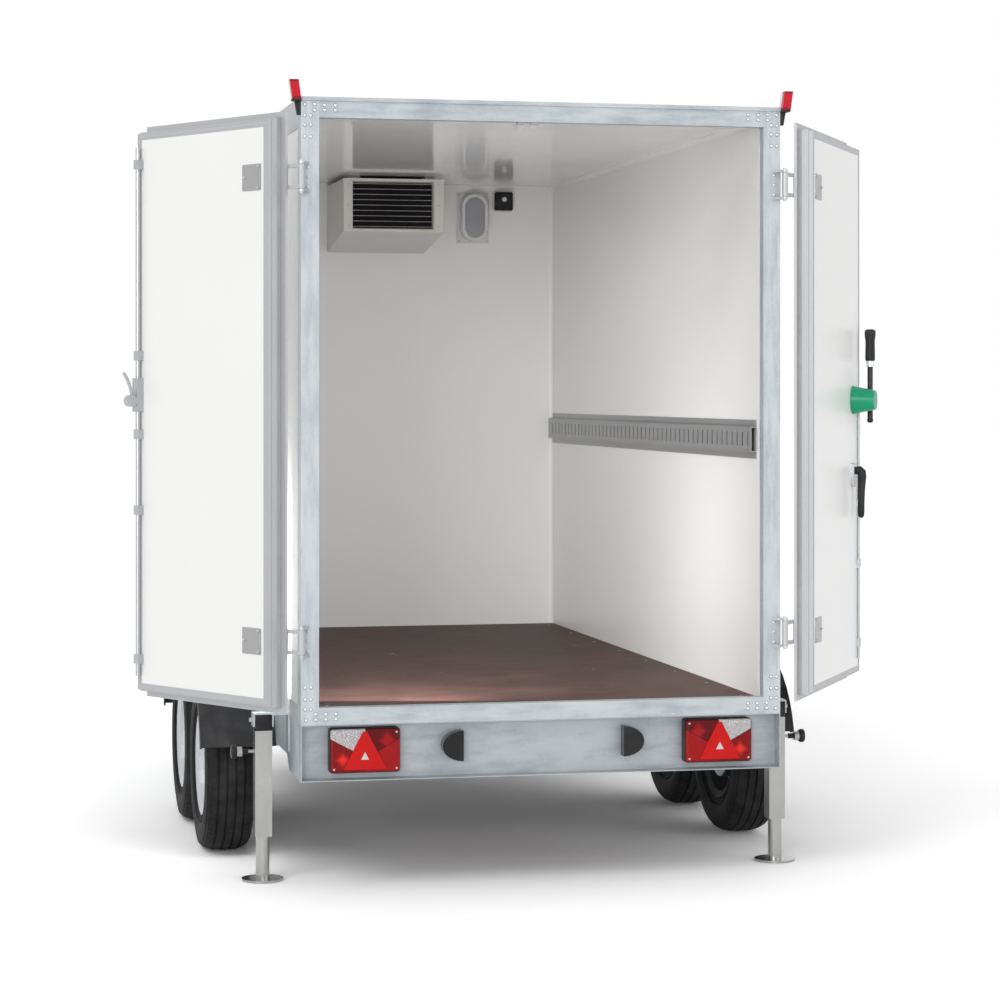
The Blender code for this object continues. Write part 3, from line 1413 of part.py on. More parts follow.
LOCK_BAR_RADIUS = 0.0105
LOCK_BAR_UP = (1.597, 1.944)
LOCK_BAR_GRIP = 0.0175
LOCK_BAR_GRIP_LOW = 1.830
LOCK_BAR_OUT = 0.046
LOCK_BAR_FROM_EDGE = 0.036
THIN_ROD_FROM_EDGE = 0.035
THIN_ROD_RADIUS = 0.005
THIN_ROD_STANDOFF = 0.0055
THIN_ROD_UP = (0.700, 1.690)
THIN_GUIDE_HEIGHTS = (0.760, 1.060, 1.290, 1.680)
KNOB_FROM_EDGE = 0.130
KNOB_UP = 1.680
KNOB_BASE = 0.0535
KNOB_TIP = 0.036
KNOB_OUT = 0.086
HANDLE_FROM_EDGE = 0.144
HANDLE_UP = (1.236, 1.443)
HANDLE_OUT = 0.034
HANDLE_RADIUS = 0.011
HANDLE_PLATE = (0.044, 0.012, 0.090)


def door_bolt():
    """Thin bolt rod of the right door and the upright lever that works it, with its grip."""
    side = 1
    along, face, shapes = rod_and_guides(
        side, THIN_ROD_FROM_EDGE, THIN_ROD_RADIUS, THIN_ROD_STANDOFF, THIN_ROD_UP, THIN_GUIDE_HEIGHTS
    )
    middle = (-side * (door_reach(side) - LOCK_BAR_FROM_EDGE), face + LOCK_BAR_OUT)
    low, high = LOCK_BAR_UP
    bar = rod((*middle, low), (*middle, high), LOCK_BAR_RADIUS)
    grip = rod((*middle, LOCK_BAR_GRIP_LOW), (*middle, high + OVERRUN), LOCK_BAR_GRIP)
    foot = (-side * along, face + THIN_ROD_STANDOFF, KNOB_UP)
    stay = rod(foot, (*middle, KNOB_UP), ROD_RADIUS)
    return fused(bar, grip, stay, *shapes)


def release_knob():
    """Conical emergency release on the inside of the right door."""
    side = 1
    face = SKIN + DOOR_THICKNESS + SEAT
    x = -side * (door_reach(side) - KNOB_FROM_EDGE)
    return rod((x, face, KNOB_UP), (x, face + KNOB_OUT, KNOB_UP), KNOB_BASE, 28, KNOB_TIP)


def door_handle():
    """Black handle with an upper plate on the inside of the right door."""
    side = 1
    face = SKIN + DOOR_THICKNESS + SEAT
    low, high = HANDLE_UP
    width, depth, height = HANDLE_PLATE
    along = door_reach(side) - HANDLE_FROM_EDGE
    plate = slab(
        side,
        (along - width / 2, along + width / 2),
        (face, face + depth),
        (high - height, high),
    )
    x = -side * along
    bar = bent_bar(
        [
            (x, face + depth / 2, high - height / 2),
            (x, face + HANDLE_OUT, high - height / 2),
            (x, face + HANDLE_OUT, low),
        ],
        HANDLE_RADIUS,
    )
    return fused(plate, bar)


def doors(trailer, white, aluminium, steel, black, green):
    for word, side in SIDES:
        pin = (side * PIN_ACROSS, -PIN_BEHIND, 0)
        hinge = anchor("door_hinge_" + word, pin, side * DOOR_OPEN, trailer)
        piece("door_panel_" + word, door_panel(side), white, hinge)
        piece("door_frame_" + word, door_frame(side), aluminium, hinge)
        if side < 0:
            piece("door_latch_left", door_latch(), steel, hinge)
        else:
            piece("door_bolt_right", door_bolt(), steel, hinge)
            piece("release_knob_right", release_knob(), green, hinge)
            piece("door_handle_right", door_handle(), black, hinge)


def fittings(trailer, silver, cream, black, white, grey):
    for word, side in SIDES:
        piece("cargo_rail_" + word, cargo_rail(side), silver, trailer)
    piece("evaporator", evaporator(), cream, trailer)
    piece("evaporator_grille", evaporator_grille(), black, trailer)
    piece("bulkhead_lamp", bulkhead_lamp(), grey, trailer)
    piece("switch_box", switch_box(), black, trailer)
    piece("condensing_unit", condensing_unit(), white, trailer)


def main():
    clear_scene()
    white = finish("white_panel", (0.90, 0.91, 0.92), 0.30, 0)
    board = finish("film_faced_board", (0.12, 0.075, 0.065), 0.45, 0)
    galvanised = finish("galvanised_steel", (0.62, 0.66, 0.70), 0.42, 0.85)
    aluminium = finish("aluminium", (0.66, 0.67, 0.69), 0.38, 0.85)
    steel = finish("satin_steel", (0.55, 0.55, 0.54), 0.35, 0.9)
    silver = finish("silver_paint", (0.68, 0.69, 0.70), 0.35, 0.6)
    rubber = finish("black_rubber", (0.025, 0.026, 0.028), 0.75, 0)
    black = finish("black_plastic", (0.02, 0.02, 0.022), 0.45, 0)
    red = finish("red_lens", (0.60, 0.02, 0.02), 0.15, 0)
    green = finish("green_plastic", (0.01, 0.40, 0.20), 0.35, 0)
    cream = finish("cream_housing", (0.80, 0.79, 0.74), 0.40, 0)
    grey = finish("grey_lamp", (0.72, 0.72, 0.71), 0.35, 0)
    trailer = anchor("trailer_middle", (0, -MID_LENGTH, 0))
    body_panels(trailer, white, board)
    portal(trailer, galvanised)
    lamp_beam(trailer, galvanised)
    lamps(trailer, red, black)
    chassis(trailer, galvanised)
    drawbar(trailer, galvanised)
    piece("overrun_device", overrun_device(), steel, trailer)
    piece("coupling_head", coupling_head(), steel, trailer)
    piece("handbrake_lever", handbrake_lever(), black, trailer)
    piece("jockey_tube", jockey_tube(), galvanised, trailer)
    swivel = anchor("jockey_swivel", (JOCKEY_ACROSS, JOCKEY_ALONG, 0), parent=trailer)
    piece("jockey_fork", jockey_fork(), galvanised, swivel)
    axle_place = (0, -JOCKEY_TRAIL, JOCKEY_WHEEL_RADIUS)
    jockey_hub = anchor("jockey_hub", axle_place, parent=swivel)
    piece("jockey_wheel", jockey_wheel(), rubber, jockey_hub)
    running_gear(trailer, rubber, steel, silver)
    for word, side in SIDES:
        piece("mudguard_" + word, mudguard(side), black, trailer)
        piece("prop_leg_" + word, prop_leg(side), steel, trailer)
        piece("prop_clamp_" + word, clamp_block(side), black, trailer)
    fittings(trailer, silver, cream, black, white, grey)
    doors(trailer, white, aluminium, steel, black, green)


main()
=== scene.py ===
"""Looks of the refrigerated box trailer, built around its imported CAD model.

Metres, in the CAD's own frame: +Y runs forwards to the coupling and z = 0 is the ground.
"""

import json
import math

import bmesh
import bpy
import numpy as np
from mathutils import Matrix, Vector


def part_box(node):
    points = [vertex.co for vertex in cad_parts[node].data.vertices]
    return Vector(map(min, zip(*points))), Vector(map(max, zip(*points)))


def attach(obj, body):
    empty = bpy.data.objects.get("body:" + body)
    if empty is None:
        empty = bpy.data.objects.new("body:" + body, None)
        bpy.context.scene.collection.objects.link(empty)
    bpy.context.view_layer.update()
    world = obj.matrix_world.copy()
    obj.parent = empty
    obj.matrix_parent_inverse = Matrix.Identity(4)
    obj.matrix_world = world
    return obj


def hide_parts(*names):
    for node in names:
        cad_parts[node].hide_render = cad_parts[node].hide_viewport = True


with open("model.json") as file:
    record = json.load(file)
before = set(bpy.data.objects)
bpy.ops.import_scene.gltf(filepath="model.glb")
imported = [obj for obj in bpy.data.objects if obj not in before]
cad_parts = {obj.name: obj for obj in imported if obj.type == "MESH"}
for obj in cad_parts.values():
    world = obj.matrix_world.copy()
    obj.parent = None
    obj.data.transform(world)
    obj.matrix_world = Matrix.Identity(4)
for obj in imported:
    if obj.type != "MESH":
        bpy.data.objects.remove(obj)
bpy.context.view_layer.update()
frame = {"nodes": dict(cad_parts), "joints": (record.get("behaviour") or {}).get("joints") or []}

TRAILER = "trailer_body"
SIDES = (("left", -1), ("right", 1))
REARWARDS = (0, -1, 0)
FORWARDS = (0, 1, 0)
UPWARDS = (0, 0, 1)
# Edges sharper than SHARP stay sharp, and LIFT keeps a piece off the face that carries it
SHARP = math.radians(32)
LIFT = 0.0002
WELD = 1e-6

# Places read from the CAD
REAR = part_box("portal_sill")[0][1]
SILL_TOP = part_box("portal_sill")[1][2]
FLOOR_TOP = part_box("floor_panel")[1][2]
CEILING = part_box("roof_panel")[0][2]
FRONT_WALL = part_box("wall_front")[0][1]
INNER_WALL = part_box("wall_right")[0][0]
OUTER_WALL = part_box("wall_right")[1][0]
PORTAL_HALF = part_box("portal_header")[1][0]
OPENING_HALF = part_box("portal_sill")[1][0]
JOINTS = {joint["name"]: joint for joint in frame["joints"]}

# Node trees


class Value:
    """A number or colour that a node gives. Operators on it add Math nodes to its tree."""

    def __init__(self, tree, socket):
        self.tree = tree
        self.socket = socket

    def math(self, operation, *others):
        """The value through one Math node with the others as its further inputs."""
        inputs = {0: self, **{i + 1: other for i, other in enumerate(others)}}
        return self.tree.node("ShaderNodeMath", {"operation": operation}, inputs)

    def __add__(self, other):
        return self.math("ADD", other)

    def __sub__(self, other):
        return self.math("SUBTRACT", other)

    def __mul__(self, other):
        return self.math("MULTIPLY", other)

    __radd__ = __add__
    __rmul__ = __mul__

    def __rsub__(self, other):
        return self.math("MULTIPLY", -1) + other

    def above(self, limit):
        return self.math("GREATER_THAN", limit)

    def below(self, limit):
        return self.math("LESS_THAN", limit)

    def both(self, other):
        return self.math("MINIMUM", other)

    def either(self, other):
        return self.math("MAXIMUM", other)

    def size(self):
        return self.math("ABSOLUTE")

    def wave(self):
        return self.math("SINE")

    def ramped(self, low, high):
        """0 at low and below, 1 at high and above, smooth between them."""
        inputs = {"Value": self, "From Min": low, "From Max": high}
        return self.tree.node("ShaderNodeMapRange", {"interpolation_type": "SMOOTHSTEP"}, inputs)


class Tree:
    """A node tree. Every node that is added to it comes from one method."""

    def __init__(self, tree):
        self.nodes = tree.nodes
        self.links = tree.links

    def node(self, kind, settings=None, inputs=None, output=0):
        """Adds a node, sets its settings, then the values or links of its sockets."""
        node = self.nodes.new(kind)
        for key, value in (settings or {}).items():
            if key == "stops":
                self.set_stops(node.color_ramp, value)
            else:
                setattr(node, key, value)
        for key, value in (inputs or {}).items():
            if isinstance(value, Value):
                self.links.new(value.socket, node.inputs[key])
            else:
                node.inputs[key].default_value = value
        return Value(self, node.outputs[output])

    @staticmethod
    def set_stops(ramp, stops):
        """Puts the stops of a colour ramp at their places, with their colours."""
        for element, (place, colour) in zip(ramp.elements, stops):
            element.position = place
            element.color = (*colour, 1)
        for place, colour in stops[2:]:
            ramp.elements.new(place).color = (*colour, 1)

    def seen(self):
        """1 on rays from the camera, also by a mirror or through glass, and 0 on the others."""
        outputs = self.node("ShaderNodeLightPath").socket.node.outputs
        names = ("Is Camera Ray", "Is Glossy Ray", "Is Transmission Ray")
        camera, glossy, through = (Value(self, outputs[name]) for name in names)
        return camera.either(glossy).either(through)


class Look(Tree):
    """One finish: a Principled shader, and expressions that vary it over the surface."""

    def __init__(self, name, colour, roughness, metallic=0.0, **sockets):
        self.material = bpy.data.materials.new(name)
        self.material.use_nodes = True
        super().__init__(self.material.node_tree)
        self.shader = self.nodes["Principled BSDF"]
        self.shader.inputs["Base Color"].default_value = (*colour, 1)
        self.shader.inputs["Roughness"].default_value = roughness
        self.shader.inputs["Metallic"].default_value = metallic
        for key, value in sockets.items():
            self.shader.inputs[key.replace("_", " ")].default_value = value
        self.material.diffuse_color = (*colour, 1)

    def place(self):
        """Object coordinates as a vector."""
        return self.node("ShaderNodeTexCoord", output="Object")

    def axes(self):
        """Object coordinates as three values."""
        split = self.node("ShaderNodeSeparateXYZ", inputs={"Vector": self.place()})
        return tuple(Value(self, socket) for socket in split.socket.node.outputs)

    def stretched(self, across, along, up):
        """Object coordinates scaled by axis."""
        inputs = {"Vector": self.place(), "Scale": (across, along, up)}
        return self.node("ShaderNodeMapping", inputs=inputs)

    def noise(self, scale, detail=3.0, rough=0.55, place=None):
        inputs = {
            "Vector": place or self.place(),
            "Scale": scale,
            "Detail": detail,
            "Roughness": rough,
        }
        return self.node("ShaderNodeTexNoise", inputs=inputs)

    def cells(self, scale, feature="F1", output=0):
        inputs = {"Vector": self.place(), "Scale": scale}
        return self.node("ShaderNodeTexVoronoi", {"feature": feature}, inputs, output)

    def blend(self, mask, low, high):
        """A colour between two, by a mask. Either may be a colour or a link."""
        settings = {"data_type": "RGBA"}
        inputs = {0: mask}
        for index, colour in ((6, low), (7, high)):
            inputs[index] = colour if isinstance(colour, Value) else (*colour, 1)
        return self.node("ShaderNodeMix", settings, inputs, 2)

    def ramp(self, mask, *stops):
        return self.node("ShaderNodeValToRGB", {"stops": stops}, {0: mask})

    def feed(self, socket, value):
        self.links.new(value.socket, self.shader.inputs[socket])
        return self

    def colour(self, value):
        return self.feed("Base Color", value)

    def roughness(self, value):
        return self.feed("Roughness", value)

    def metallic(self, value):
        return self.feed("Metallic", value)

    def bump(self, height, distance, strength=1.0):
        """Turns a height into the normal."""
        inputs = {"Height": height, "Distance": distance, "Strength": strength}
        return self.feed("Normal", self.node("ShaderNodeBump", inputs=inputs))


# Finishes


def galvanised_look(name, stretch, shade=1.0):
    """Hot dip galvanised steel: soft cloudy patches, runs along one axis and faint spangles."""
    look = Look(name, (0.68, 0.72, 0.76), 0.42, 0.35)
    spangle = look.cells(120, output=1)
    fleck = look.node("ShaderNodeSeparateColor", inputs={0: spangle})
    cloud = look.noise(4.2, 3, 0.5)
    runs = look.noise(9.0, 5, 0.6, look.stretched(*stretch))
    tone = cloud * 0.42 + runs * 0.54 + fleck * 0.04
    # Every stop is scaled by shade: a painted shade that makes darker copies for the cross pieces
    # and the lamp beam
    look.colour(
        look.ramp(
            tone,
            (0.30, tuple(shade * c for c in (0.50, 0.56, 0.61))),
            (0.66, tuple(shade * c for c in (0.80, 0.85, 0.885))),
            (0.43, tuple(shade * c for c in (0.63, 0.685, 0.73))),
            (0.53, tuple(shade * c for c in (0.735, 0.79, 0.825))),
        )
    )
    look.roughness(cloud * 0.26 + 0.30)
    return look.bump(runs * 0.7 + look.noise(60, 3) * 0.3, 0.0005, 0.4)


def panel_look(name, roughness, weave=0.15):
    """White glass fibre skin with a faint weave and a slightly uneven sheen."""
    look = Look(name, (0.88, 0.88, 0.87), roughness, 0, IOR=1.5)
    cloud = look.noise(1.6, 3)
    look.colour(look.blend(cloud, (0.86, 0.86, 0.85), (0.91, 0.91, 0.905)))
    across, along, up = look.axes()
    threads = (up * 520).wave() + ((across + along) * 520).wave()
    look.roughness(cloud * 0.10 + (roughness - 0.05))
    return look.bump(threads * 0.25 + look.noise(14, 2), 0.0004, weave)


def board_look():
    """Film faced floor board: red brown film, cloudy wear, pale scuffs and dust."""
    look = Look("film_board", (0.10, 0.055, 0.047), 0.55, 0, Specular_IOR_Level=0.14)
    cloud = look.noise(2.6, 6, 0.65)
    grain = look.noise(7.0, 5, 0.6, look.stretched(1.0, 5.0, 1.0))
    film = (cloud * 0.65 + grain * 0.35).ramped(0.36, 0.66)
    base = look.blend(film, (0.050, 0.024, 0.020), (0.112, 0.058, 0.048))
    dust = look.noise(38, 2, 0.5).ramped(0.70, 0.78)
    scuff = look.noise(9, 6, 0.75, look.stretched(1.0, 0.25, 1.0)).ramped(0.64, 0.74) * 0.35
    look.colour(look.blend((dust * 0.5).either(scuff), base, (0.36, 0.30, 0.28)))
    mesh = look.cells(210, "DISTANCE_TO_EDGE")
    look.roughness(cloud * 0.20 + 0.42)
    return look.bump(mesh.ramped(0.0, 0.35), 0.0006, 0.35)


def brushed_look(name, dark, light, roughness, metallic, fine=(90.0, 90.0, 2.0)):
    """Brushed or drawn metal whose fine lines run along one axis."""
    look = Look(name, light, roughness, metallic)
    lines = look.noise(12, 4, 0.6, look.stretched(*fine))
    cloud = look.noise(3.5, 4)
    look.colour(look.blend(cloud * 0.6 + lines * 0.4, dark, light))
    look.roughness(lines * 0.16 + cloud * 0.12 + (roughness - 0.14))
    return look.bump(lines, 0.0002, 0.4)


def plastic_look(name, dark, light, roughness, grain=0.0005, shine=0.22):
    """Moulded plastic with a fine leather grain and slightly greyer worn patches."""
    look = Look(name, dark, roughness, 0, Specular_IOR_Level=shine)
    cloud = look.noise(9, 4)
    look.colour(look.blend(cloud.ramped(0.4, 0.75), dark, light))
    look.roughness(cloud * 0.2 + (roughness - 0.1))
    return look.bump(look.cells(420), grain, 0.4)


def rubber_look():
    """Tyre rubber: near black, dusty on the sidewall and in the grooves."""
    look = Look("tyre_rubber", (0.014, 0.014, 0.015), 0.66, 0, Specular_IOR_Level=0.20)
    cloud = look.noise(11, 5, 0.6)
    look.colour(look.blend(cloud.ramped(0.42, 0.70), (0.009, 0.0095, 0.010), (0.026, 0.026, 0.027)))
    look.roughness(cloud * 0.2 + 0.58)
    return look.bump(look.noise(160, 2), 0.0004, 0.5)


def paint_look(name, colour, roughness, metallic=0.0):
    """Painted or powder coated housing with a soft orange peel."""
    look = Look(name, colour, roughness, metallic, Coat_Weight=0.2)
    cloud = look.noise(4, 4)
    darker = tuple(channel * 0.88 for channel in colour)
    look.colour(look.blend(cloud, darker, colour))
    look.roughness(cloud * 0.14 + (roughness - 0.07))
    return look.bump(look.noise(120, 2), 0.0003, 0.2)


# Everything further in than this belongs to the inside of a wheel's barrel, which is painted dark
# as shade
RIM_OUTER = 1.0


def rim_look():
    """Silver painted wheel, painted dark inside the barrel as shade, and rougher there."""
    look = Look("rim_paint", (0.50, 0.51, 0.53), 0.32, 0.6)
    across, _, _ = look.axes()
    cloud = look.noise(5, 4)
    silver = look.blend(cloud, (0.44, 0.45, 0.47), (0.58, 0.59, 0.61))
    outside = across.size().above(RIM_OUTER)
    # Inside the barrel the near black colour is painted shade
    look.colour(look.blend(outside, (0.055, 0.055, 0.058), silver))
    look.roughness(cloud * 0.14 + 0.62 - outside * 0.36)
    return look.bump(look.noise(120, 2), 0.0003, 0.2)


# Middle of a rear cluster, and the slopes and offsets of the seams between its fields
LAMP_ACROSS = 0.629
LAMP_UP = 0.486
OUTER_SEAM = (0.54, 0.024)
INNER_SEAM = (0.55, 0.026)
SEAM_HALF = 0.0013
# Outwards and up from the middle, then where the painted glow starts and where it is full
OUTER_GLOW = (0.078, -0.030, 0.034, 0.004)
INNER_GLOW = (-0.076, 0.034, 0.040, 0.012)


def lens_look():
    """Lens of the rear cluster: clear reversing field at the outer top with painted glints, red
    fields round it with two areas of painted glow.
    """
    look = Look("cluster_lens", (0.40, 0.006, 0.008), 0.10, 0, Specular_IOR_Level=0.18)
    across, _, up = look.axes()
    outwards = across.size() - LAMP_ACROSS
    height = up - LAMP_UP
    outer = outwards.above(0.0)
    edge = height - outwards * OUTER_SEAM[0] + OUTER_SEAM[1]
    clear = outer * edge.above(0.0)
    slant = height + outwards * INNER_SEAM[0] + INNER_SEAM[1]
    upper = slant.above(0.0) * (1 - outer)
    seam = (edge.size() * outer + slant.size() * (1 - outer)).below(SEAM_HALF)
    painted_glow_spot, painted_glow_window = (
        ((outwards - u).size() + (height - v).size()).ramped(start, full)
        for u, v, start, full in (OUTER_GLOW, INNER_GLOW)
    )
    optics = (across * 900).wave() * (up * 900).wave()
    red = look.blend(upper, (0.34, 0.004, 0.006), (0.12, 0.001, 0.003))
    red = look.blend(outer, red, (0.22, 0.002, 0.004))
    # The two brighter reds blended in here are painted glow
    red = look.blend(painted_glow_spot * 0.9, red, (0.85, 0.03, 0.02))
    red = look.blend(painted_glow_window * 0.6, red, (0.52, 0.008, 0.010))
    # White flecks on the clear field, following the optics, are painted glints
    painted_sparkle = look.noise(260, 1, 0.5).ramped(0.5, 0.62)
    glints = (optics * 0.3 + painted_sparkle * 0.7).both(1.0)
    white = look.blend(glints, (0.34, 0.32, 0.33), (0.90, 0.89, 0.89))
    shown = look.blend(clear, red, white)
    look.colour(look.blend(seam, shown, (0.07, 0.002, 0.003)))
    return look.bump(optics, 0.0006, 0.6)


MARKER_FOOT = 0.052
MARKER_RIM = (0.008, 0.007)


def marker_look():
    """Outline marker lamp: red lens to the rear, white to the front, on black rubber."""
    look = Look("marker", (0.6, 0.01, 0.015), 0.2, 0, Specular_IOR_Level=0.3)
    _, along, up = look.axes()
    low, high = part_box("marker_lamp_left")
    start = low[2] + MARKER_FOOT
    rim = (up - start).below(MARKER_RIM[0]).either((high[2] - up).below(MARKER_RIM[1]))
    red = look.blend(rim, (0.56, 0.006, 0.022), (0.26, 0.002, 0.010))
    shown = look.blend(along.above((low[1] + high[1]) / 2), red, (0.80, 0.80, 0.80))
    lens = up.above(start)
    look.colour(look.blend(lens, (0.02, 0.02, 0.022), shown))
    look.roughness(0.65 - lens * 0.5)
    return look.bump((up * 700).wave() * lens, 0.0005, 0.5)


def glow_look(name, colour, roughness):
    """A smooth moulded lens with fine ribs."""
    look = Look(name, colour, roughness, 0, Specular_IOR_Level=0.2)
    _, _, up = look.axes()
    darker = tuple(channel * 0.8 for channel in colour)
    look.colour(look.blend(look.noise(8, 3), darker, colour))
    return look.bump((up * 900).wave(), 0.0004, 0.5)


# Copies of one galvanised steel: the cross pieces and the lamp beam take lower factors, a painted
# shade
GALVANISED = galvanised_look("galvanised_upright", (6.0, 6.0, 0.7), 0.72)
GALVANISED_ACROSS = galvanised_look("galvanised_across", (0.9, 6.0, 5.0), 0.68)
GALVANISED_BEAM = galvanised_look("galvanised_beam", (0.9, 5.0, 4.0), 0.57)
PANEL = panel_look("panel_skin", 0.30)
CEILING_SKIN = panel_look("ceiling_skin", 0.09, 0.04)
BOARD = board_look()
ALUMINIUM = brushed_look("door_aluminium", (0.44, 0.445, 0.46), (0.54, 0.545, 0.56), 0.42, 0.30)
RIVET_METAL = brushed_look("rivet_metal", (0.66, 0.68, 0.70), (0.86, 0.88, 0.90), 0.26, 0.5)
# Dark steel of the ring under each rivet: a painted contact shadow
RIVET_SHADE = brushed_look("rivet_painted_shadow", (0.16, 0.18, 0.20), (0.30, 0.32, 0.34), 0.6, 0.4)
LEG_STEEL = brushed_look(
    "leg_steel", (0.25, 0.25, 0.245), (0.56, 0.56, 0.54), 0.24, 1.0, (30.0, 30.0, 4.0)
)
ZINC = brushed_look("zinc_plate", (0.40, 0.41, 0.42), (0.52, 0.53, 0.54), 0.34, 0.5)
GLOSSY_BLACK = plastic_look(
    "glossy_black", (0.010, 0.010, 0.011), (0.022, 0.022, 0.024), 0.14, 0.0001, 0.25
)
STEEL = brushed_look("satin_steel", (0.40, 0.40, 0.39), (0.66, 0.66, 0.64), 0.30, 0.9)
SILVER = brushed_look(
    "silver_rail", (0.30, 0.30, 0.305), (0.46, 0.46, 0.465), 0.36, 0.6, (90.0, 2.0, 90.0)
)
RIM_PAINT = rim_look()
RUBBER = rubber_look()
BLACK = plastic_look("black_plastic", (0.016, 0.016, 0.018), (0.035, 0.035, 0.037), 0.45)
GUARD = plastic_look("guard_plastic", (0.014, 0.014, 0.015), (0.038, 0.038, 0.040), 0.55)
GREEN = plastic_look("green_plastic", (0.004, 0.30, 0.155), (0.008, 0.37, 0.20), 0.34, 0.0002, 0.3)
CREAM = paint_look("evaporator_paint", (0.74, 0.73, 0.69), 0.38)
MACHINE = paint_look("machine_paint", (0.80, 0.81, 0.82), 0.35)
GREY = paint_look("lamp_ring", (0.78, 0.78, 0.77), 0.4)
LENS = lens_look()
MARKER = marker_look()
REFLECTOR = glow_look("reflector_red", (0.62, 0.006, 0.005), 0.12)
FROSTED = glow_look("frosted_glass", (0.42, 0.43, 0.46), 0.25)
CLEAR = glow_look("clear_reflector", (0.66, 0.62, 0.62), 0.15)
SEAL = plastic_look("door_seal", (0.38, 0.38, 0.39), (0.46, 0.46, 0.47), 0.6)
# Near black finish of painted shade, for openings and hollows that lie in shadow
PAINTED_SHADE = plastic_look("painted_shade_black", (0.006, 0.006, 0.007), (0.012, 0.012, 0.013), 0.6)

NODE_LOOKS = {
    "floor_panel": BOARD,
    "roof_panel": CEILING_SKIN,
    "wall_": PANEL,
    "door_panel": PANEL,
    "portal_post": GALVANISED,
    "portal_": GALVANISED_ACROSS,
    "lamp_beam": GALVANISED_BEAM,
    "chassis_beam": GALVANISED,
    "crossmember": GALVANISED,
    "drawbar_arm": GALVANISED,
    "jockey_tube": GALVANISED,
    "jockey_fork": GALVANISED,
    "axle_": GALVANISED,
    "overrun_device": STEEL,
    "coupling_head": STEEL,
    "prop_leg": LEG_STEEL,
    "door_latch": ZINC,
    "door_bolt": BLACK,
    "door_frame": ALUMINIUM,
    "cargo_rail": SILVER,
    "rim_": RIM_PAINT,
    "tyre_": RUBBER,
    "jockey_wheel": RUBBER,
    "tail_lamp": LENS,
    "marker_lamp": MARKER,
    "plate_lamp": GLOSSY_BLACK,
    "handbrake_lever": BLACK,
    "mudguard": GUARD,
    "prop_clamp": BLACK,
    "evaporator_grille": STEEL,
    "evaporator": CREAM,
    "switch_box": BLACK,
    "door_handle": BLACK,
    "condensing_unit": MACHINE,
    "bulkhead_lamp": GREY,
    "release_knob": GREEN,
}


def dress_nodes():
    """Gives each CAD node its finish, by the longest name that fits."""
    for name, node in frame["nodes"].items():
        fits = [start for start in NODE_LOOKS if name.startswith(start)]
        look = NODE_LOOKS[max(fits, key=len)]
        node.data.materials.clear()
        node.data.materials.append(look.material)


# Meshes from arrays


def add_piece(name, shape, look, body=TRAILER, replaces=()):
    """One object from (points, faces), welded and facing out."""
    points, faces = shape
    mesh = bpy.data.meshes.new(name)
    mesh.from_pydata(np.asarray(points, float).tolist(), [], faces)
    form = bmesh.new()
    form.from_mesh(mesh)
    bmesh.ops.remove_doubles(form, verts=form.verts, dist=WELD)
    bmesh.ops.recalc_face_normals(form, faces=form.faces)
    form.to_mesh(mesh)
    form.free()
    mesh.materials.append(look.material)
    mesh.shade_smooth()
    mesh.set_sharp_from_angle(angle=SHARP)
    piece = bpy.data.objects.new(name, mesh)
    bpy.context.scene.collection.objects.link(piece)
    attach(piece, body)
    if replaces:
        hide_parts(*replaces)


def grid_faces(rows, columns, close_rows=False, close_columns=False):
    """Quads of a grid of points numbered row by row."""
    row, column = np.meshgrid(
        np.arange(rows if close_rows else rows - 1),
        np.arange(columns if close_columns else columns - 1),
        indexing="ij",
    )
    next_row, next_column = (row + 1) % rows, (column + 1) % columns
    corners = (
        row * columns + column,
        next_row * columns + column,
        next_row * columns + next_column,
        row * columns + next_column,
    )
    return np.stack(corners, -1).reshape(-1, 4).tolist()


def joined(*shapes):
    """Several (points, faces) as one."""
    points, faces, count = [], [], 0
    for more_points, more_faces in shapes:
        more_points = np.asarray(more_points, float).reshape(-1, 3)
        points.append(more_points)
        faces += [[index + count for index in face] for face in more_faces]
        count += len(more_points)
    return np.concatenate(points), faces


def swept(outline, stations):
    """A closed outline of (u, v) carried through stations, with capped ends.

    A station is (origin, U, V), with point = origin + u U + v V.
    """
    outline = np.asarray(outline, float)
    rings = [
        np.asarray(origin, float)
        + outline[:, :1] * np.asarray(across, float)
        + outline[:, 1:] * np.asarray(up, float)
        for origin, across, up in stations
    ]
    count = len(outline)
    faces = grid_faces(len(rings), count, close_columns=True)
    last = (len(rings) - 1) * count
    faces += [list(range(count)), list(range(last, last + count))]
    return np.concatenate(rings), faces


def carried(outline, start, end, axis):
    """A closed outline carried straight along an axis.

    It is (y, z) along X, (x, z) along Y and (x, y) along Z.
    """
    unit = np.eye(3)
    index = "XYZ".index(axis)
    across, up = (unit[i] for i in range(3) if i != index)
    stations = [(unit[index] * place, across, up) for place in (start, end)]
    return swept(outline, stations)


def box_between(low, high):
    """A box between two corners."""
    outline = [(low[0], low[2]), (high[0], low[2]), (high[0], high[2]), (low[0], high[2])]
    return carried(outline, low[1], high[1], "Y")


def revolved(profile, centre, axis, steps):
    """A profile of (radius, height) turned about an axis through a centre.

    Its ends lie on the axis or meet. Point = centre + height A + radius (cos t U + sin t V), with A
    along the axis.
    """
    profile = np.asarray(profile, float)
    axis = Vector(axis).normalized()
    first = axis.orthogonal().normalized()
    second = axis.cross(first)
    turn = np.linspace(0, 2 * np.pi, steps, endpoint=False)
    ring = np.cos(turn)[:, None] * np.array(first) + np.sin(turn)[:, None] * np.array(second)
    points = (
        np.asarray(centre, float)
        + profile[None, :, 1, None] * np.array(axis)
        + profile[None, :, 0, None] * ring[:, None, :]
    )
    return points.reshape(-1, 3), grid_faces(steps, len(profile), close_rows=True)


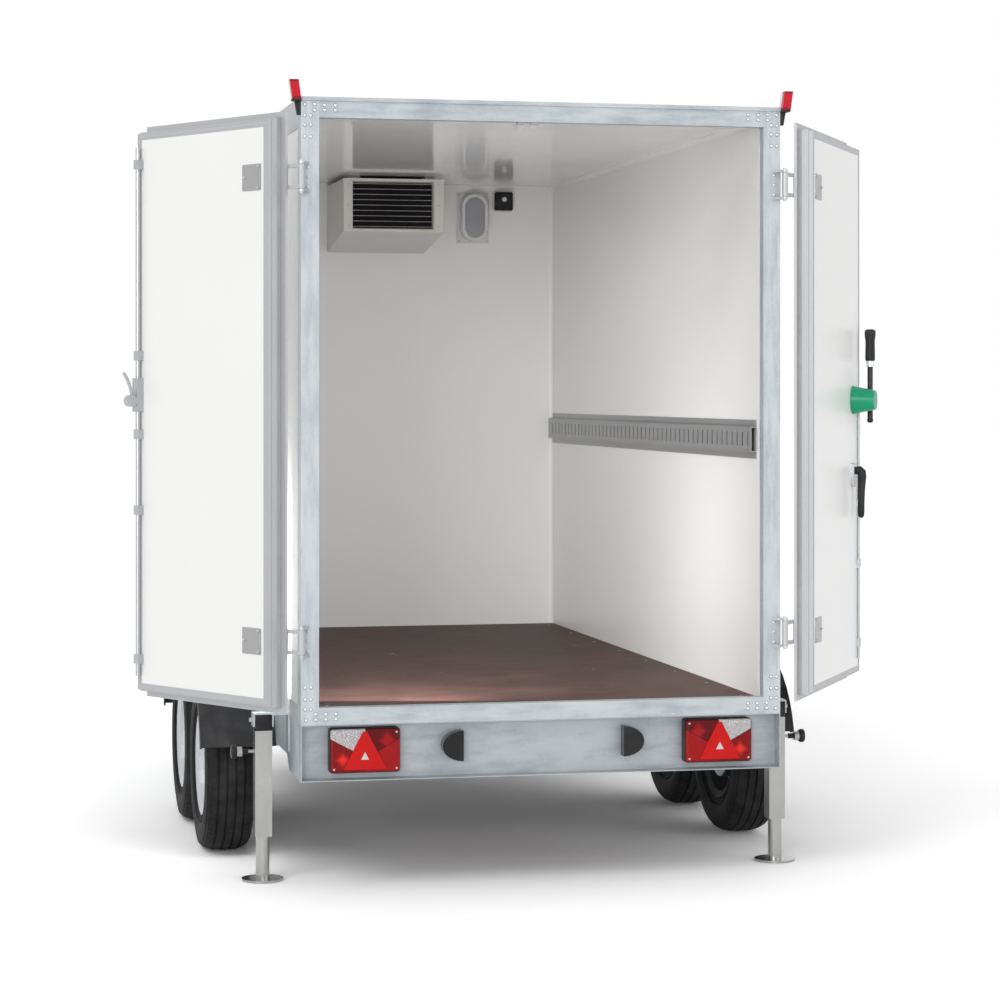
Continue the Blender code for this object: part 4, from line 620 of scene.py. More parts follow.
def dome(radius, height, rings):
    """Profile of a flat bottomed dome: radius cos t, height sin t."""
    turn = np.linspace(0, np.pi / 2, rings + 1)
    top = np.stack([radius * np.cos(turn), height * np.sin(turn)], 1)
    return np.concatenate([[(0, 0)], top])


def rivets(centres, radius, height, axis=REARWARDS, steps=10, rings=3):
    """Domed heads at many centres, all facing along one axis."""
    profile = dome(radius, height, rings)
    return joined(*[revolved(profile, centre, axis, steps) for centre in centres])


def hex_head(centre, axis, radius, height):
    """A hexagon bolt head with a washer under it, a fifth of the height thick."""
    foot, rim = height * 0.2, radius * 1.5
    washer = [(0, 0), (rim, 0), (rim, foot), (radius, foot), (0, foot)]
    head = [(0, foot), (radius, foot), (radius, height * 0.9), (radius * 0.8, height), (0, height)]
    return joined(revolved(washer, centre, axis, 18), revolved(head, centre, axis, 6))


def tube(points, radius, steps=10, flat=1.0, guide=None):
    """A bar along a path of points: ellipses square to the path's direction, with capped ends.

    radius is one number or one for each point, flat is the ellipse's second radius over its
    first, and guide is a direction that the path never takes.
    """
    points = np.asarray(points, float)
    along = np.gradient(points, axis=0)
    along /= np.linalg.norm(along, axis=1, keepdims=True)
    if guide is None:
        guide = (0.0, 0.0, 1.0) if abs(along[0, 2]) < 0.9 else (1.0, 0.0, 0.0)
    across = np.cross(along, guide)
    across /= np.linalg.norm(across, axis=1, keepdims=True)
    up = np.cross(across, along)
    turn = np.linspace(0, 2 * np.pi, steps, endpoint=False)
    circle = np.stack([np.cos(turn), flat * np.sin(turn)], 1)
    radii = np.broadcast_to(np.asarray(radius, float), len(points))[:, None]
    return swept(circle, list(zip(points, across * radii, up * radii)))


def rounded_box(half_width, half_height, radius, count=5):
    """Outline of a rectangle with round corners, about its own centre."""
    turn = np.linspace(0, np.pi / 2, count)
    corners = []
    for quarter, (u, v) in enumerate(((1, 1), (-1, 1), (-1, -1), (1, -1))):
        angle = turn + quarter * np.pi / 2
        centre = np.array((u * (half_width - radius), v * (half_height - radius)))
        corners.append(centre + radius * np.stack([np.cos(angle), np.sin(angle)], 1))
    return np.concatenate(corners)


# Places on what moves


def door_place(side):
    """Carries a door's own places to where it hangs open.

    They are along from the pin, in towards the load, and up.
    """
    word = "left" if side < 0 else "right"
    joint = JOINTS[f"door_{word}_swing"]
    x, y, _ = joint["pos_m"]
    angle = side * math.radians(-joint["range_deg"][0])
    turn = Matrix.Rotation(angle, 4, "Z") @ Matrix.Diagonal((-side, 1, 1, 1))
    return Matrix.Translation((x, y, 0)) @ turn


def moved(shape, place):
    """(points, faces) carried by a matrix."""
    points, faces = shape
    matrix = np.array(place)
    points = np.asarray(points, float)
    return points @ matrix[:3, :3].T + matrix[:3, 3], faces


WHEELS = [(row, word, side) for row in ("rear", "front") for word, side in SIDES]


def wheel_place(row, word, side):
    """Carries a wheel's own places, with Z out along its axle, to its hub."""
    x, y, z = JOINTS[f"wheel_{row}_{word}_spin"]["pos_m"]
    return Matrix.Translation((x, y, z)) @ Matrix.Rotation(side * math.pi / 2, 4, "Y")


# Tyres

TYRE_RADIUS = 0.325
TREAD_HALF = 0.070
TREAD_EDGES = (0.004, -0.002)
CROWN_DROP = 0.010
GROOVES = (0.048, 0.016)
GROOVE_HALF = 0.0042
GROOVE_DEPTH = 0.0075
# Share of a groove's half width, and whether the tread is cut down there
GROOVE_EDGES = ((1, 0), (0.6, 1), (-0.6, 1), (-1, 0))
LUGS = 72
LUG_SKEW = 60
SHOULDER = 0.056
NOTCH_DEPTH = 0.0045
SLICE_DEPTH = 0.0015
SLICE_FROM = 0.9
SIDEWALL = (
    (0.1803, 0.066),
    (0.1985, 0.070),
    (0.215, 0.080),
    (0.235, 0.0885),
    (0.255, 0.0922),
    (0.275, 0.0912),
    (0.295, 0.0865),
    (0.310, 0.0795),
)
# Radius, width and height of each raised ring, and how deep its foot is set
SIDEWALL_RINGS = ((0.222, 0.0842, 0.0035), (0.300, 0.0848, 0.0022))
RING_FOOT = 0.004


def tyre_section():
    """Half section of a tyre as (radius, width, tread share), from bead to the tread's middle.

    The crown falls off with the fourth power of the width, and a groove's floor is flat.
    """
    widths = [(TREAD_HALF + out, 0) for out in TREAD_EDGES]
    for groove in GROOVES:
        widths += [(groove + share * GROOVE_HALF, deep) for share, deep in GROOVE_EDGES]
    section = [(radius, width, 0.0) for radius, width in SIDEWALL]
    for width, deep in [*widths, (0.0, 0)]:
        crown = TYRE_RADIUS - CROWN_DROP * (width / TREAD_HALF) ** 4
        section.append((crown - deep * GROOVE_DEPTH, width, 1.0 - deep))
    return section


def tyre_shape():
    """Section carried round the axle, its shoulder notched and its ribs sliced by the angle.

    radius = section radius - depth where sin(lugs t + skew width) is high, only on the tread.
    """
    half = tyre_section()
    section = np.array(half + [(r, -w, d) for r, w, d in reversed(half[:-1])])
    steps = LUGS * 4
    turn = np.linspace(0, 2 * np.pi, steps, endpoint=False)[:, None]
    radius, width, tread = section.T
    outside = np.abs(width) > SHOULDER
    phase = np.sin(LUGS * turn + LUG_SKEW * np.abs(width)[None, :])
    notch = np.clip(phase, 0, 1) ** 2 * (tread * outside)[None, :] * NOTCH_DEPTH
    slices = (phase > SLICE_FROM) * (tread * ~outside)[None, :] * SLICE_DEPTH
    grown = radius[None, :] - notch - slices
    across = np.broadcast_to(width, grown.shape)
    points = np.stack([grown * np.cos(turn), grown * np.sin(turn), across], -1)
    return points.reshape(-1, 3), grid_faces(steps, len(section), True, True)


def sidewall_rings():
    """Raised rings on both sidewalls: a rim guard and a thin wear ring, as flat topped bands."""
    shapes = []
    for face in (1, -1):
        for radius, width, out in SIDEWALL_RINGS:
            foot, crest = face * (width - RING_FOOT), face * (width + out)
            band = [(-out, foot), (-out / 2, crest), (out / 2, crest), (out, foot), (-out, foot)]
            profile = [(radius + u, v) for u, v in band]
            shapes.append(revolved(profile, (0, 0, 0), UPWARDS, 96))
    return joined(*shapes)


def tyres():
    """A treaded tyre in the place of each plain one."""
    shape = joined(tyre_shape(), sidewall_rings())
    for row, word, side in WHEELS:
        node = f"tyre_{row}_{word}"
        tyre = moved(shape, wheel_place(row, word, side))
        body = f"wheel_{row}_{word}"
        add_piece("treaded_" + node, tyre, RUBBER, body, [node])


# Wheel details

DISC_OUT = 0.048
STUDS = 5
STUD_CIRCLE = 0.056
STUD_RADIUS = 0.0095
STUD_HEIGHT = 0.016
HAND_HOLES = 10
HAND_HOLE_CIRCLE = 0.108
HAND_HOLE = ((0, 0), (0.0125, 0), (0.0120, 0.0012), (0.0, 0.0006))
VALVE = ((0.150, 0, 0.030), (0.153, 0, 0.048), (0.156, 0, 0.062))
VALVE_RADIUS = 0.004


def on_circle(count, radius, height, start=0.0):
    """Places at equal angles on a circle about Z: radius (cos t, sin t)."""
    turns = [2 * math.pi * (i + start) / count for i in range(count)]
    return [(radius * math.cos(turn), radius * math.sin(turn), height) for turn in turns]


def wheel_details():
    """Wheel bolts, hand holes as dark discs of painted shade, and a valve on each outer disc."""
    studs = on_circle(STUDS, STUD_CIRCLE, DISC_OUT)
    bolts = joined(*[hex_head(stud, UPWARDS, STUD_RADIUS, STUD_HEIGHT) for stud in studs])
    # The hand holes are flat discs in the near black finish: painted shade where the disc is open
    centres = on_circle(HAND_HOLES, HAND_HOLE_CIRCLE, DISC_OUT - LIFT, 0.5)
    holes = joined(*[revolved(HAND_HOLE, centre, UPWARDS, 20) for centre in centres])
    valve = tube(VALVE, VALVE_RADIUS)
    for row, word, side in WHEELS:
        place = wheel_place(row, word, side)
        wheel = f"{row}_{word}"
        body = "wheel_" + wheel
        add_piece("wheel_bolts_" + wheel, moved(bolts, place), STEEL, body)
        add_piece("hand_holes_" + wheel, moved(holes, place), PAINTED_SHADE, body)
        add_piece("valve_" + wheel, moved(valve, place), BLACK, body)


# Rivets, plates and screws of the portal

RIVET = (0.0056, 0.0040)
# Radius and height of the dark ring under each rivet, a painted contact shadow
RIVET_SHADOW_RING = (0.0070, 0.0005)
# Places across and up that are combined, the same on both sides
RIVET_PLACES = (
    ((0.839,), (2.687, 2.650, 2.618, 2.578)),
    ((0.819,), (2.650, 2.618, 2.578)),
    ((0.805,), (2.688, 2.668)),
    ((0.771, 0.734), (2.686, 2.669)),
    ((0.835,), (0.595,)),
    ((0.8375, 0.818), (0.632, 0.666, 0.707)),
    ((0.802, 0.767, 0.732), (0.597, 0.615)),
)


def portal_rivets():
    """Domed rivets at the four corners and on header and sill, each on a dark ring that is a
    painted contact shadow.
    """
    centres = [
        (side * x, REAR - LIFT, z)
        for _, side in SIDES
        for across, heights in RIVET_PLACES
        for x in across
        for z in heights
    ]
    add_piece("corner_rivets", rivets(centres, *RIVET), RIVET_METAL)
    # Dark rings a little wider than the heads: painted contact shadow
    edges = rivets(centres, *RIVET_SHADOW_RING, steps=12)
    add_piece("rivet_painted_shadows", edges, RIVET_SHADE)


POST_SCREW = (0.0042, 0.0018)
POST_SCREW_HEIGHTS = (0.74, 2.60, 0.235)
POST_SCREW_IN = 0.022
FLOOR_SCREW = (0.0055, 0.0010)
FLOOR_SCREW_PITCH = 0.42
FLOOR_SCREW_ENDS = (0.12, 0.10)
FLOOR_SCREW_FROM_WALL = 0.045
REAR_SCREWS = (-0.62, 0.62, 5)
REAR_SCREWS_IN = 0.085


def return_screws():
    """Small screws down the inner return of each post, and lines of them on the floor's edges."""
    post, floor = [], []
    for _, side in SIDES:
        face = side * (OPENING_HALF - LIFT)
        centres = [(face, REAR + POST_SCREW_IN, z) for z in np.arange(*POST_SCREW_HEIGHTS)]
        post.append(rivets(centres, *POST_SCREW, axis=(-side, 0, 0)))
        x = side * (INNER_WALL - FLOOR_SCREW_FROM_WALL)
        first, last = REAR + FLOOR_SCREW_ENDS[0], FRONT_WALL - FLOOR_SCREW_ENDS[1]
        floor += [(x, y) for y in np.arange(first, last, FLOOR_SCREW_PITCH)]
    add_piece("return_screws", joined(*post), STEEL)
    floor += [(x, REAR + REAR_SCREWS_IN) for x in np.linspace(*REAR_SCREWS)]
    centres = [(x, y, FLOOR_TOP + LIFT) for x, y in floor]
    screws = rivets(centres, *FLOOR_SCREW, axis=UPWARDS, steps=12, rings=2)
    add_piece("floor_screws", screws, STEEL)


KEEPERS = (-0.075, -0.030)
# Half width, in from the rear face, and drop of the lower and the upper face
KEEPER_PARTS = ((0.016, 0.020, 0.004, LIFT), (0.012, 0.049, 0.018, 0.003))
KEEPER_FRONT = 0.054
DRIP_BACK = 0.0030
DRIP_EDGE = (
    (0, -0.013),
    (0.0018, -0.013),
    (0.0018, LIFT),
    (0.022, LIFT),
    (0.022, 0.0016),
    (0.0008, 0.0016),
    (0, 0.0008),
)
DRAINS = (-0.40, 0.05, 0.46)
DRAIN = (0.0045, 0.003)
DRAIN_UP = 0.006


def portal_details():
    """Keepers under the header, drip edge on the roof and drain screws in the lamp beam."""
    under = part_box("portal_header")[0][2]
    keepers = [
        box_between(
            (x - half, REAR + start, under - low), (x + half, REAR + KEEPER_FRONT, under - high)
        )
        for x in KEEPERS
        for half, start, low, high in KEEPER_PARTS
    ]
    add_piece("header_keepers", joined(*keepers), STEEL)
    low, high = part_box("roof_panel")
    lip = [(low[1] - DRIP_BACK + u, high[2] + v) for u, v in DRIP_EDGE]
    edge = carried(lip, -PORTAL_HALF, PORTAL_HALF, "X")
    add_piece("drip_edge", edge, RIVET_METAL)
    drains = [(x, REAR - LIFT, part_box("portal_sill")[0][2] + DRAIN_UP) for x in DRAINS]
    add_piece("sill_screws", rivets(drains, *DRAIN), STEEL)


TRIM = 0.0022
TRIM_WIDTH = 0.100
TRIM_FOOT = 0.060
TRIM_START = 0.082


def body_trims():
    """Aluminium angles along the outside edges of the box: roof, bottom and front corners."""
    outer, top = OUTER_WALL + LIFT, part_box("roof_panel")[1][2] + LIFT
    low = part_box("wall_right")[0][2]
    back, front = REAR + TRIM_START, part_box("wall_front")[1][1]
    face, inner, foot_top = outer + TRIM, outer - TRIM_WIDTH / 2, low + TRIM_FOOT
    roof = [(outer, top - TRIM_WIDTH), (face, top - TRIM_WIDTH), (face, top + TRIM)]
    roof += [(inner, top + TRIM), (inner, top), (outer, top)]
    foot = [(outer, low), (face, low), (face, foot_top), (outer, foot_top)]
    corner = [(outer, front - TRIM_FOOT), (face, front - TRIM_FOOT), (face, front + TRIM)]
    corner += [(outer - TRIM_FOOT, front + TRIM), (outer - TRIM_FOOT, front + LIFT)]
    corner += [(outer, front + LIFT)]
    runs = (
        (roof, back, front + LIFT, "Y"),
        (foot, back, front + LIFT, "Y"),
        (corner, foot_top + LIFT, top - TRIM_WIDTH - LIFT, "Z"),
    )
    for word, side in SIDES:
        shapes = [carried([(side * u, v) for u, v in line], *run) for line, *run in runs]
        add_piece("body_trim_" + word, joined(*shapes), ALUMINIUM)


COVE = 0.018
COVE_START = 0.048


def inner_coves():
    """White corner beads where the inner walls meet the front wall and the ceiling.

    A bead's face is a quarter circle that bows into the corner.
    """
    turn = np.linspace(0, np.pi / 2, 6)
    bow = np.stack([COVE * (1 - np.sin(turn)), COVE * (1 - np.cos(turn))], 1)
    wall, front, top = INNER_WALL - LIFT, FRONT_WALL - LIFT, CEILING - LIFT
    shapes = []
    for _, side in SIDES:
        for limit, start, end, axis in (
            (front, FLOOR_TOP + LIFT, top, "Z"),
            (top, REAR + COVE_START, front, "Y"),
        ):
            line = [(side * (wall - u), limit - v) for u, v in bow] + [(side * wall, limit)]
            shapes.append(carried(line, start, end, axis))
    add_piece("inner_coves", joined(*shapes), PANEL)


RAIL_BACK_DEPTH = 0.009
RAIL_BACK = 0.002
RAIL_BACK_END = 0.010
RAIL_BACK_INSET = 0.030


def rail_backs():
    """Dark strip behind the slots of each lashing rail, painted shade seen through them."""
    for word, side in SIDES:
        low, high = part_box("cargo_rail_" + word)
        inner = min(abs(low[0]), abs(high[0])) + RAIL_BACK_DEPTH
        first, last = sorted((side * inner, side * (inner + RAIL_BACK)))
        strip = box_between(
            (first, low[1] + RAIL_BACK_END, low[2] + RAIL_BACK_INSET),
            (last, high[1] - RAIL_BACK_END, high[2] - RAIL_BACK_INSET),
        )
        add_piece("rail_back_" + word, strip, PAINTED_SHADE)


# Rear lamps

# Outlines are across and up from the middle of the triangle, and depths run in from the lens
REFLECTOR_ACROSS = LAMP_ACROSS + 0.002
TRIANGLE = (
    (-0.074, -0.064),
    (0.074, -0.064),
    (0.071, -0.058),
    (0.007, 0.066),
    (-0.007, 0.066),
    (-0.071, -0.058),
)
TRIANGLE_DEPTHS = (0.001, -0.0030)
INSET = ((-0.014, -0.030), (0.014, -0.030), (0, -0.004))
INSET_DEPTHS = (-0.0029, -0.0036)
LENS_SCREW = (0.0038, 0.0015)
LENS_SCREW_PLACE = (0.108, 0.062)
CLUSTER_BASE = (0.1225, 0.0765, 0.012)
BASE_SET_IN = 0.001
BASE_FACE = 0.012


def placed(outline, across, up):
    """An outline moved to a place."""
    return np.asarray(outline, float) + (across, up)


def reflectors():
    """Triangular reflector on each cluster, with a clear centre, and the cluster's screws."""
    for word, side in SIDES:
        low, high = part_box("tail_lamp_" + word)
        face, middle = low[1], side * LAMP_ACROSS
        triangle, inset = (
            carried(placed(line, side * REFLECTOR_ACROSS, LAMP_UP), face + a, face + b, "Y")
            for line, (a, b) in ((TRIANGLE, TRIANGLE_DEPTHS), (INSET, INSET_DEPTHS))
        )
        add_piece("reflector_" + word, triangle, REFLECTOR)
        u, v = LENS_SCREW_PLACE
        places = [(middle + s * u, face - LIFT, LAMP_UP + t * v) for s in (-1, 1) for t in (-1, 1)]
        centre = joined(inset, rivets(places, *LENS_SCREW))
        add_piece("reflector_centre_" + word, centre, CLEAR)
        line = placed(rounded_box(*CLUSTER_BASE), middle, LAMP_UP)
        base = carried(line, high[1] - BASE_SET_IN, face + BASE_FACE, "Y")
        add_piece("cluster_base_" + word, base, BLACK)


# Fittings inside

COIL_BEHIND = 0.010
COIL_DEPTH = 0.004
COIL_MARGIN = 0.004
FIN_ENDS = (0.012, 0.008)
FIN_PITCH = 0.009
FIN_WIDTH = 0.002
FIN_MARGIN = 0.006
FIN_DEPTHS = (-0.005, 0.001)
GRILLE_WIRES = 9
WIRE_RADIUS = 0.0016
WIRE_MARGIN = 0.010
FOLD = 0.0022
FOLD_DOWN = (0.026, 0.014)
FOLD_OUT = (0.008, 0.006, 0.004)
UNIT_SCREW = (0.0038, 0.002)
UNIT_SCREW_ACROSS = (0.018, 0.022)
UNIT_SCREW_MARGIN = 0.012


def evaporator_details():
    """Near black coil with its fins as painted shade behind the grille, wires of the grille, folded
    edges and screws of the evaporator.
    """
    (left, near, low), (right, far, high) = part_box("evaporator_grille")
    (unit_left, front, _), (unit_right, _, unit_top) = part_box("evaporator")
    back, edge = far + COIL_BEHIND, COIL_MARGIN
    coil = box_between(
        (left + edge, back, low + edge), (right - edge, back + COIL_DEPTH, high - edge)
    )
    fins = [
        box_between(
            (x, back + FIN_DEPTHS[0], low + FIN_MARGIN),
            (x + FIN_WIDTH, back + FIN_DEPTHS[1], high - FIN_MARGIN),
        )
        for x in np.arange(left + FIN_ENDS[0], right - FIN_ENDS[1], FIN_PITCH)
    ]
    # The coil and fins take the near black of painted shade
    add_piece("evaporator_coil", joined(coil, *fins), PAINTED_SHADE)
    middle = (near + far) / 2
    wires = [
        tube([(left, middle, z), (right, middle, z)], WIRE_RADIUS, 8)
        for z in np.linspace(low + WIRE_MARGIN, high - WIRE_MARGIN, GRILLE_WIRES)
    ]
    add_piece("grille_wires", joined(*wires), STEEL, replaces=["evaporator_grille"])
    wide, medium, close = FOLD_OUT
    folds = (
        (unit_left, unit_right, unit_top - FOLD_DOWN[0], unit_top - FOLD_DOWN[1]),
        (left - medium, right + medium, low - wide, low - close),
        (right + close, right + wide, low - medium, high + close),
        (left - wide, left - close, low - medium, high + close),
    )
    frames = [
        box_between((first, front - FOLD, bottom), (last, front - LIFT, top))
        for first, last, bottom, top in folds
    ]
    add_piece("evaporator_edges", joined(*frames), CREAM)
    screws = [
        (x, front - LIFT, z)
        for x in (left - UNIT_SCREW_ACROSS[0], right + UNIT_SCREW_ACROSS[1])
        for z in (low + UNIT_SCREW_MARGIN, (low + high) / 2, high - UNIT_SCREW_MARGIN)
    ]
    add_piece("evaporator_screws", rivets(screws, *UNIT_SCREW), STEEL)


# Half width, half height and corner radius of each oval
OVAL_OUTER = (0.0625, 0.110, 0.0615)
OVAL_INNER = (0.0450, 0.0925, 0.0445)
OVAL_POINTS = 12
GLASS_BACK = -0.002
# Share of the oval's size, and place along Y
OUTER_RINGS = ((1, 0.004), (1, -0.004), (0.94, -0.009))
INNER_RINGS = ((1.06, -0.009), (1, GLASS_BACK))
GLASS_SHARE = 0.99
GLASS_RINGS = 6
GLASS_BOW = 0.010
GLASS_FALL = 0.98
PLATE_SCREW = (0.0040, 0.002)
PLATE_SCREW_MARGIN = 0.010
PLATE_FACE = 0.0062
BUTTON = ((0, -0.002), (0.011, -0.002), (0.011, 0.006), (0.008, 0.008), (0, 0.008))
BUTTON_UP = 0.008
SWITCH_BASE = (0.0455, 0.0455, 0.010)
SWITCH_BASE_DEPTHS = (-0.002, -0.030)


def lofted(centre, rings):
    """Outlines of (x, z) at places along Y, joined one to the next and capped."""
    points = [
        np.stack([centre[0] + x, np.full(len(x), centre[1] + y), centre[2] + z], 1)
        for (x, z), y in rings
    ]
    count = len(points[0])
    faces = grid_faces(len(points), count, close_columns=True)
    last = (len(points) - 1) * count
    faces += [list(range(count)), list(range(last, last + count))]
    return np.concatenate(points), faces


def bulkhead_lamp_details():
    """Oval ring and frosted glass of the lamp, its plate's screws, and the switch box's parts.

    The glass bows out as its outline shrinks with sqrt(1 - fall level^2).
    """
    low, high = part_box("bulkhead_lamp")
    centre = np.array(((low[0] + high[0]) / 2, low[1], (low[2] + high[2]) / 2))
    outer, inner = (rounded_box(*oval, OVAL_POINTS) for oval in (OVAL_OUTER, OVAL_INNER))
    rings = [
        (line.T * share, depth)
        for line, shares in ((outer, OUTER_RINGS), (inner, INNER_RINGS))
        for share, depth in shares
    ]
    add_piece("lamp_oval_ring", lofted(centre, rings), GREY)
    levels = np.linspace(0, 1, GLASS_RINGS)
    shares = GLASS_SHARE * np.sqrt(1 - GLASS_FALL * levels**2)
    glass = [(inner.T * share, GLASS_BACK - GLASS_BOW * y) for share, y in zip(shares, levels)]
    add_piece("lamp_glass", lofted(centre, glass), FROSTED)
    across, up = (
        (low[axis] + PLATE_SCREW_MARGIN, high[axis] - PLATE_SCREW_MARGIN) for axis in (0, 2)
    )
    screws = [(x, high[1] - PLATE_FACE, z) for x in across for z in up]
    add_piece("lamp_plate_screws", rivets(screws, *PLATE_SCREW), STEEL)
    low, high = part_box("switch_box")
    x, z = (low[0] + high[0]) / 2, (low[2] + high[2]) / 2
    button = revolved(BUTTON, (x, low[1], z + BUTTON_UP), REARWARDS, 20)
    add_piece("switch_button", button, GREY)
    start, end = (high[1] + depth for depth in SWITCH_BASE_DEPTHS)
    base = carried(placed(rounded_box(*SWITCH_BASE), x, z), start, end, "Y")
    add_piece("switch_base", base, GREY)


# Door details

SKIN = 0.022
DOOR_FACE = 0.082
PLUG_GAP = 0.006
# A plug's ends, counted from the pin's distance from the middle
PLUG_START = 0.784
PLUG_END = (0.030, 0.010)
HINGE_HEIGHTS = (2.440, 0.864)
PLATE_ALONG = 0.042
PLATE_SIZE = (0.050, 0.045, 0.004)
PLATE = 0.0022
PLATE_BOLT = (0.0045, 0.006)
PLATE_BOLT_SEAT = 0.0020
PLATE_BOLTS = ((-0.038, 0.036), (-0.038, -0.036), (0.038, 0.0))
SEAL_OUT = 0.0018
SEAL_DEPTH = 0.0375
SEAL_HALF = (0.0017, 0.0052)
FACE_RIBS = (-0.010, -0.0225)
FACE_RIB_HALF = (0.0010, 0.0012)
EDGE_RIBS = (0.050, 0.060)
EDGE_RIB_HALF = (0.0008, 0.0010)


def door_details():
    """Backing plates of the hinges with their bolts, lip seals and edge ribs, on both doors."""
    for word, side in SIDES:
        along = plug_reach(side)[0] + PLATE_ALONG + PLATE_SIZE[0]
        line = rounded_box(*PLATE_SIZE)
        plates = [
            carried(placed(line, along, height), DOOR_FACE, DOOR_FACE + PLATE, "Y")
            for height in HINGE_HEIGHTS
        ]
        bolts = [
            hex_head((along + u, DOOR_FACE + PLATE_BOLT_SEAT, height + v), FORWARDS, *PLATE_BOLT)
            for height in HINGE_HEIGHTS
            for u, v in PLATE_BOLTS
        ]
        for name, shape, look, slot in (
            ("backing_plates_", joined(*plates), SILVER, "silver_paint"),
            ("backing_bolts_", joined(*bolts), STEEL, "satin_steel"),
            ("door_seal_", seal(side), SEAL, "black_rubber"),
            ("frame_ribs_", ribs(side), ALUMINIUM, "aluminium"),
        ):
            add_piece(name + word, moved(shape, door_place(side)), look, "door_" + word)


def plug_reach(side):
    """Along places of the plug of a door, near its hinge and near the meeting edge."""
    pin = abs(JOINTS["door_right_swing"]["pos_m"][0])
    return pin - PLUG_START, pin + side * PLUG_END[0] - PLUG_END[1]


def plug_up():
    """Lowest and highest places of both plugs."""
    return SILL_TOP + PLUG_GAP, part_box("portal_header")[0][2] - PLUG_GAP


def frame_path(side, out, depth):
    """Corners of a rectangle round the plug, moved out by a distance, at a depth."""
    (first, last), (low, high) = plug_reach(side), plug_up()
    first, last, low, high = first - out, last + out, low - out, high + out
    return [(first, depth, low), (last, depth, low), (last, depth, high), (first, depth, high)]


def ring_of_bars(corners, half_out, half_deep):
    """Four mitred bars along a rectangle of corners, their outline set on each diagonal."""
    corners = np.asarray(corners, float)
    middle = corners.mean(0)
    outline = [(-half_out, -half_deep), (half_out, -half_deep)]
    outline += [(half_out, half_deep), (-half_out, half_deep)]
    rings = []
    for corner in corners:
        out = np.sign(corner - middle)
        diagonal = np.array((out[0], 0, out[2]))
        rings.append(corner + np.array([u * diagonal + np.array((0, v, 0)) for u, v in outline]))
    return np.concatenate(rings), grid_faces(4, 4, True, True)


def seal(side):
    """Rubber lip in the step between the flange and the plug."""
    return ring_of_bars(frame_path(side, SEAL_OUT, SEAL_DEPTH), *SEAL_HALF)


def ribs(side):
    """Thin ribs of the extruded frame on the inner face and on the plug's edge."""
    face = [ring_of_bars(frame_path(side, out, DOOR_FACE), *FACE_RIB_HALF) for out in FACE_RIBS]
    edge = [ring_of_bars(frame_path(side, LIFT, depth), *EDGE_RIB_HALF) for depth in EDGE_RIBS]
    return joined(*face, *edge)


ROD_IN = 0.022


def bolt_look():
    """Black lever on a zinc plated rod: whatever stands further in than the rod is black."""
    place = door_place(1)
    inwards = place.to_3x3() @ Vector(FORWARDS)
    limit = (place @ Vector((0, DOOR_FACE + ROD_IN, 0))).dot(inwards)
    look = Look("bolt_lever", (0.014, 0.014, 0.015), 0.34, 0, Specular_IOR_Level=0.3)
    across, along, _ = look.axes()
    lever = (across * inwards.x + along * inwards.y).above(limit)
    worn = look.noise(14, 4).ramped(0.4, 0.7)
    black = look.blend(worn, (0.010, 0.010, 0.011), (0.030, 0.030, 0.032))
    look.colour(look.blend(lever, (0.46, 0.50, 0.52), black))
    look.metallic(0.5 - lever * 0.5)
    return look.bump(look.cells(380), 0.0003, 0.3)


def door_box(node, side):
    """Lowest and highest corners of a door's node in the door's own places."""
    matrix = np.array(door_place(side).inverted())
    mesh = frame["nodes"][node].data
    points = np.empty(len(mesh.vertices) * 3)
    mesh.vertices.foreach_get("co", points)
    points = points.reshape(-1, 3) @ matrix[:3, :3].T + matrix[:3, 3]
    return points.min(0), points.max(0)


LEVER_ALONG = 0.850
LEVER_FROM_TIP = 0.0175
COLLAR_UP = 1.806
COLLAR = ((0, 0), (0.0140, 0), (0.0140, 0.024), (0, 0.024))
GRIP_UP = 1.828
GRIP_SHARES = (0, 0, 0.03, 0.10, 0.35, 0.62, 0.70, 0.76, 0.90, 0.97, 1.0, 1.02, 1.02)
GRIP_MILLIMETRES = (0, 15.5, 18.2, 18.6, 18.2, 17.8, 18.6, 20.0, 21.0, 20.4, 17.0, 10.0, 0)
GRIP_RIB = ((0.0198, -0.001), (0.0212, 0), (0.0198, 0.001), (0.0198, -0.001))
# Down from the tip to the first rib and to the end of the ribs, and their pitch
GRIP_RIBS = (0.026, 0.006, 0.005)
FOOT_UP = 1.597
FOOT = ((0, -0.004), (0.008, -0.0025), (0.0115, 0.002), (0.0118, 0.010), (0, 0.010))


def lever_details():
    """Flared grip, silver collar and rounded foot on the right door's upright lever."""
    _, high = door_box("door_bolt_right", 1)
    depth, tip = high[1] - LEVER_FROM_TIP, high[2]
    place = door_place(1)

    def turned(profile, height, steps):
        return revolved(profile, (LEVER_ALONG, depth, height), UPWARDS, steps)

    collar = moved(turned(COLLAR, COLLAR_UP, 24), place)
    add_piece("lever_collar", collar, RIVET_METAL, "door_right")
    radii = np.array(GRIP_MILLIMETRES) / 1000
    heights = np.array(GRIP_SHARES) * (tip - GRIP_UP)
    grip = turned(np.stack([radii, heights], 1), GRIP_UP, 32)
    first, last, pitch = GRIP_RIBS
    grip_ribs = [turned(GRIP_RIB, z, 32) for z in np.arange(tip - first, tip - last, pitch)]
    shape = moved(joined(grip, *grip_ribs), place)
    add_piece("lever_grip", shape, BLACK, "door_right")
    foot = moved(turned(FOOT, FOOT_UP, 24), place)
    add_piece("lever_foot", foot, BLACK, "door_right")


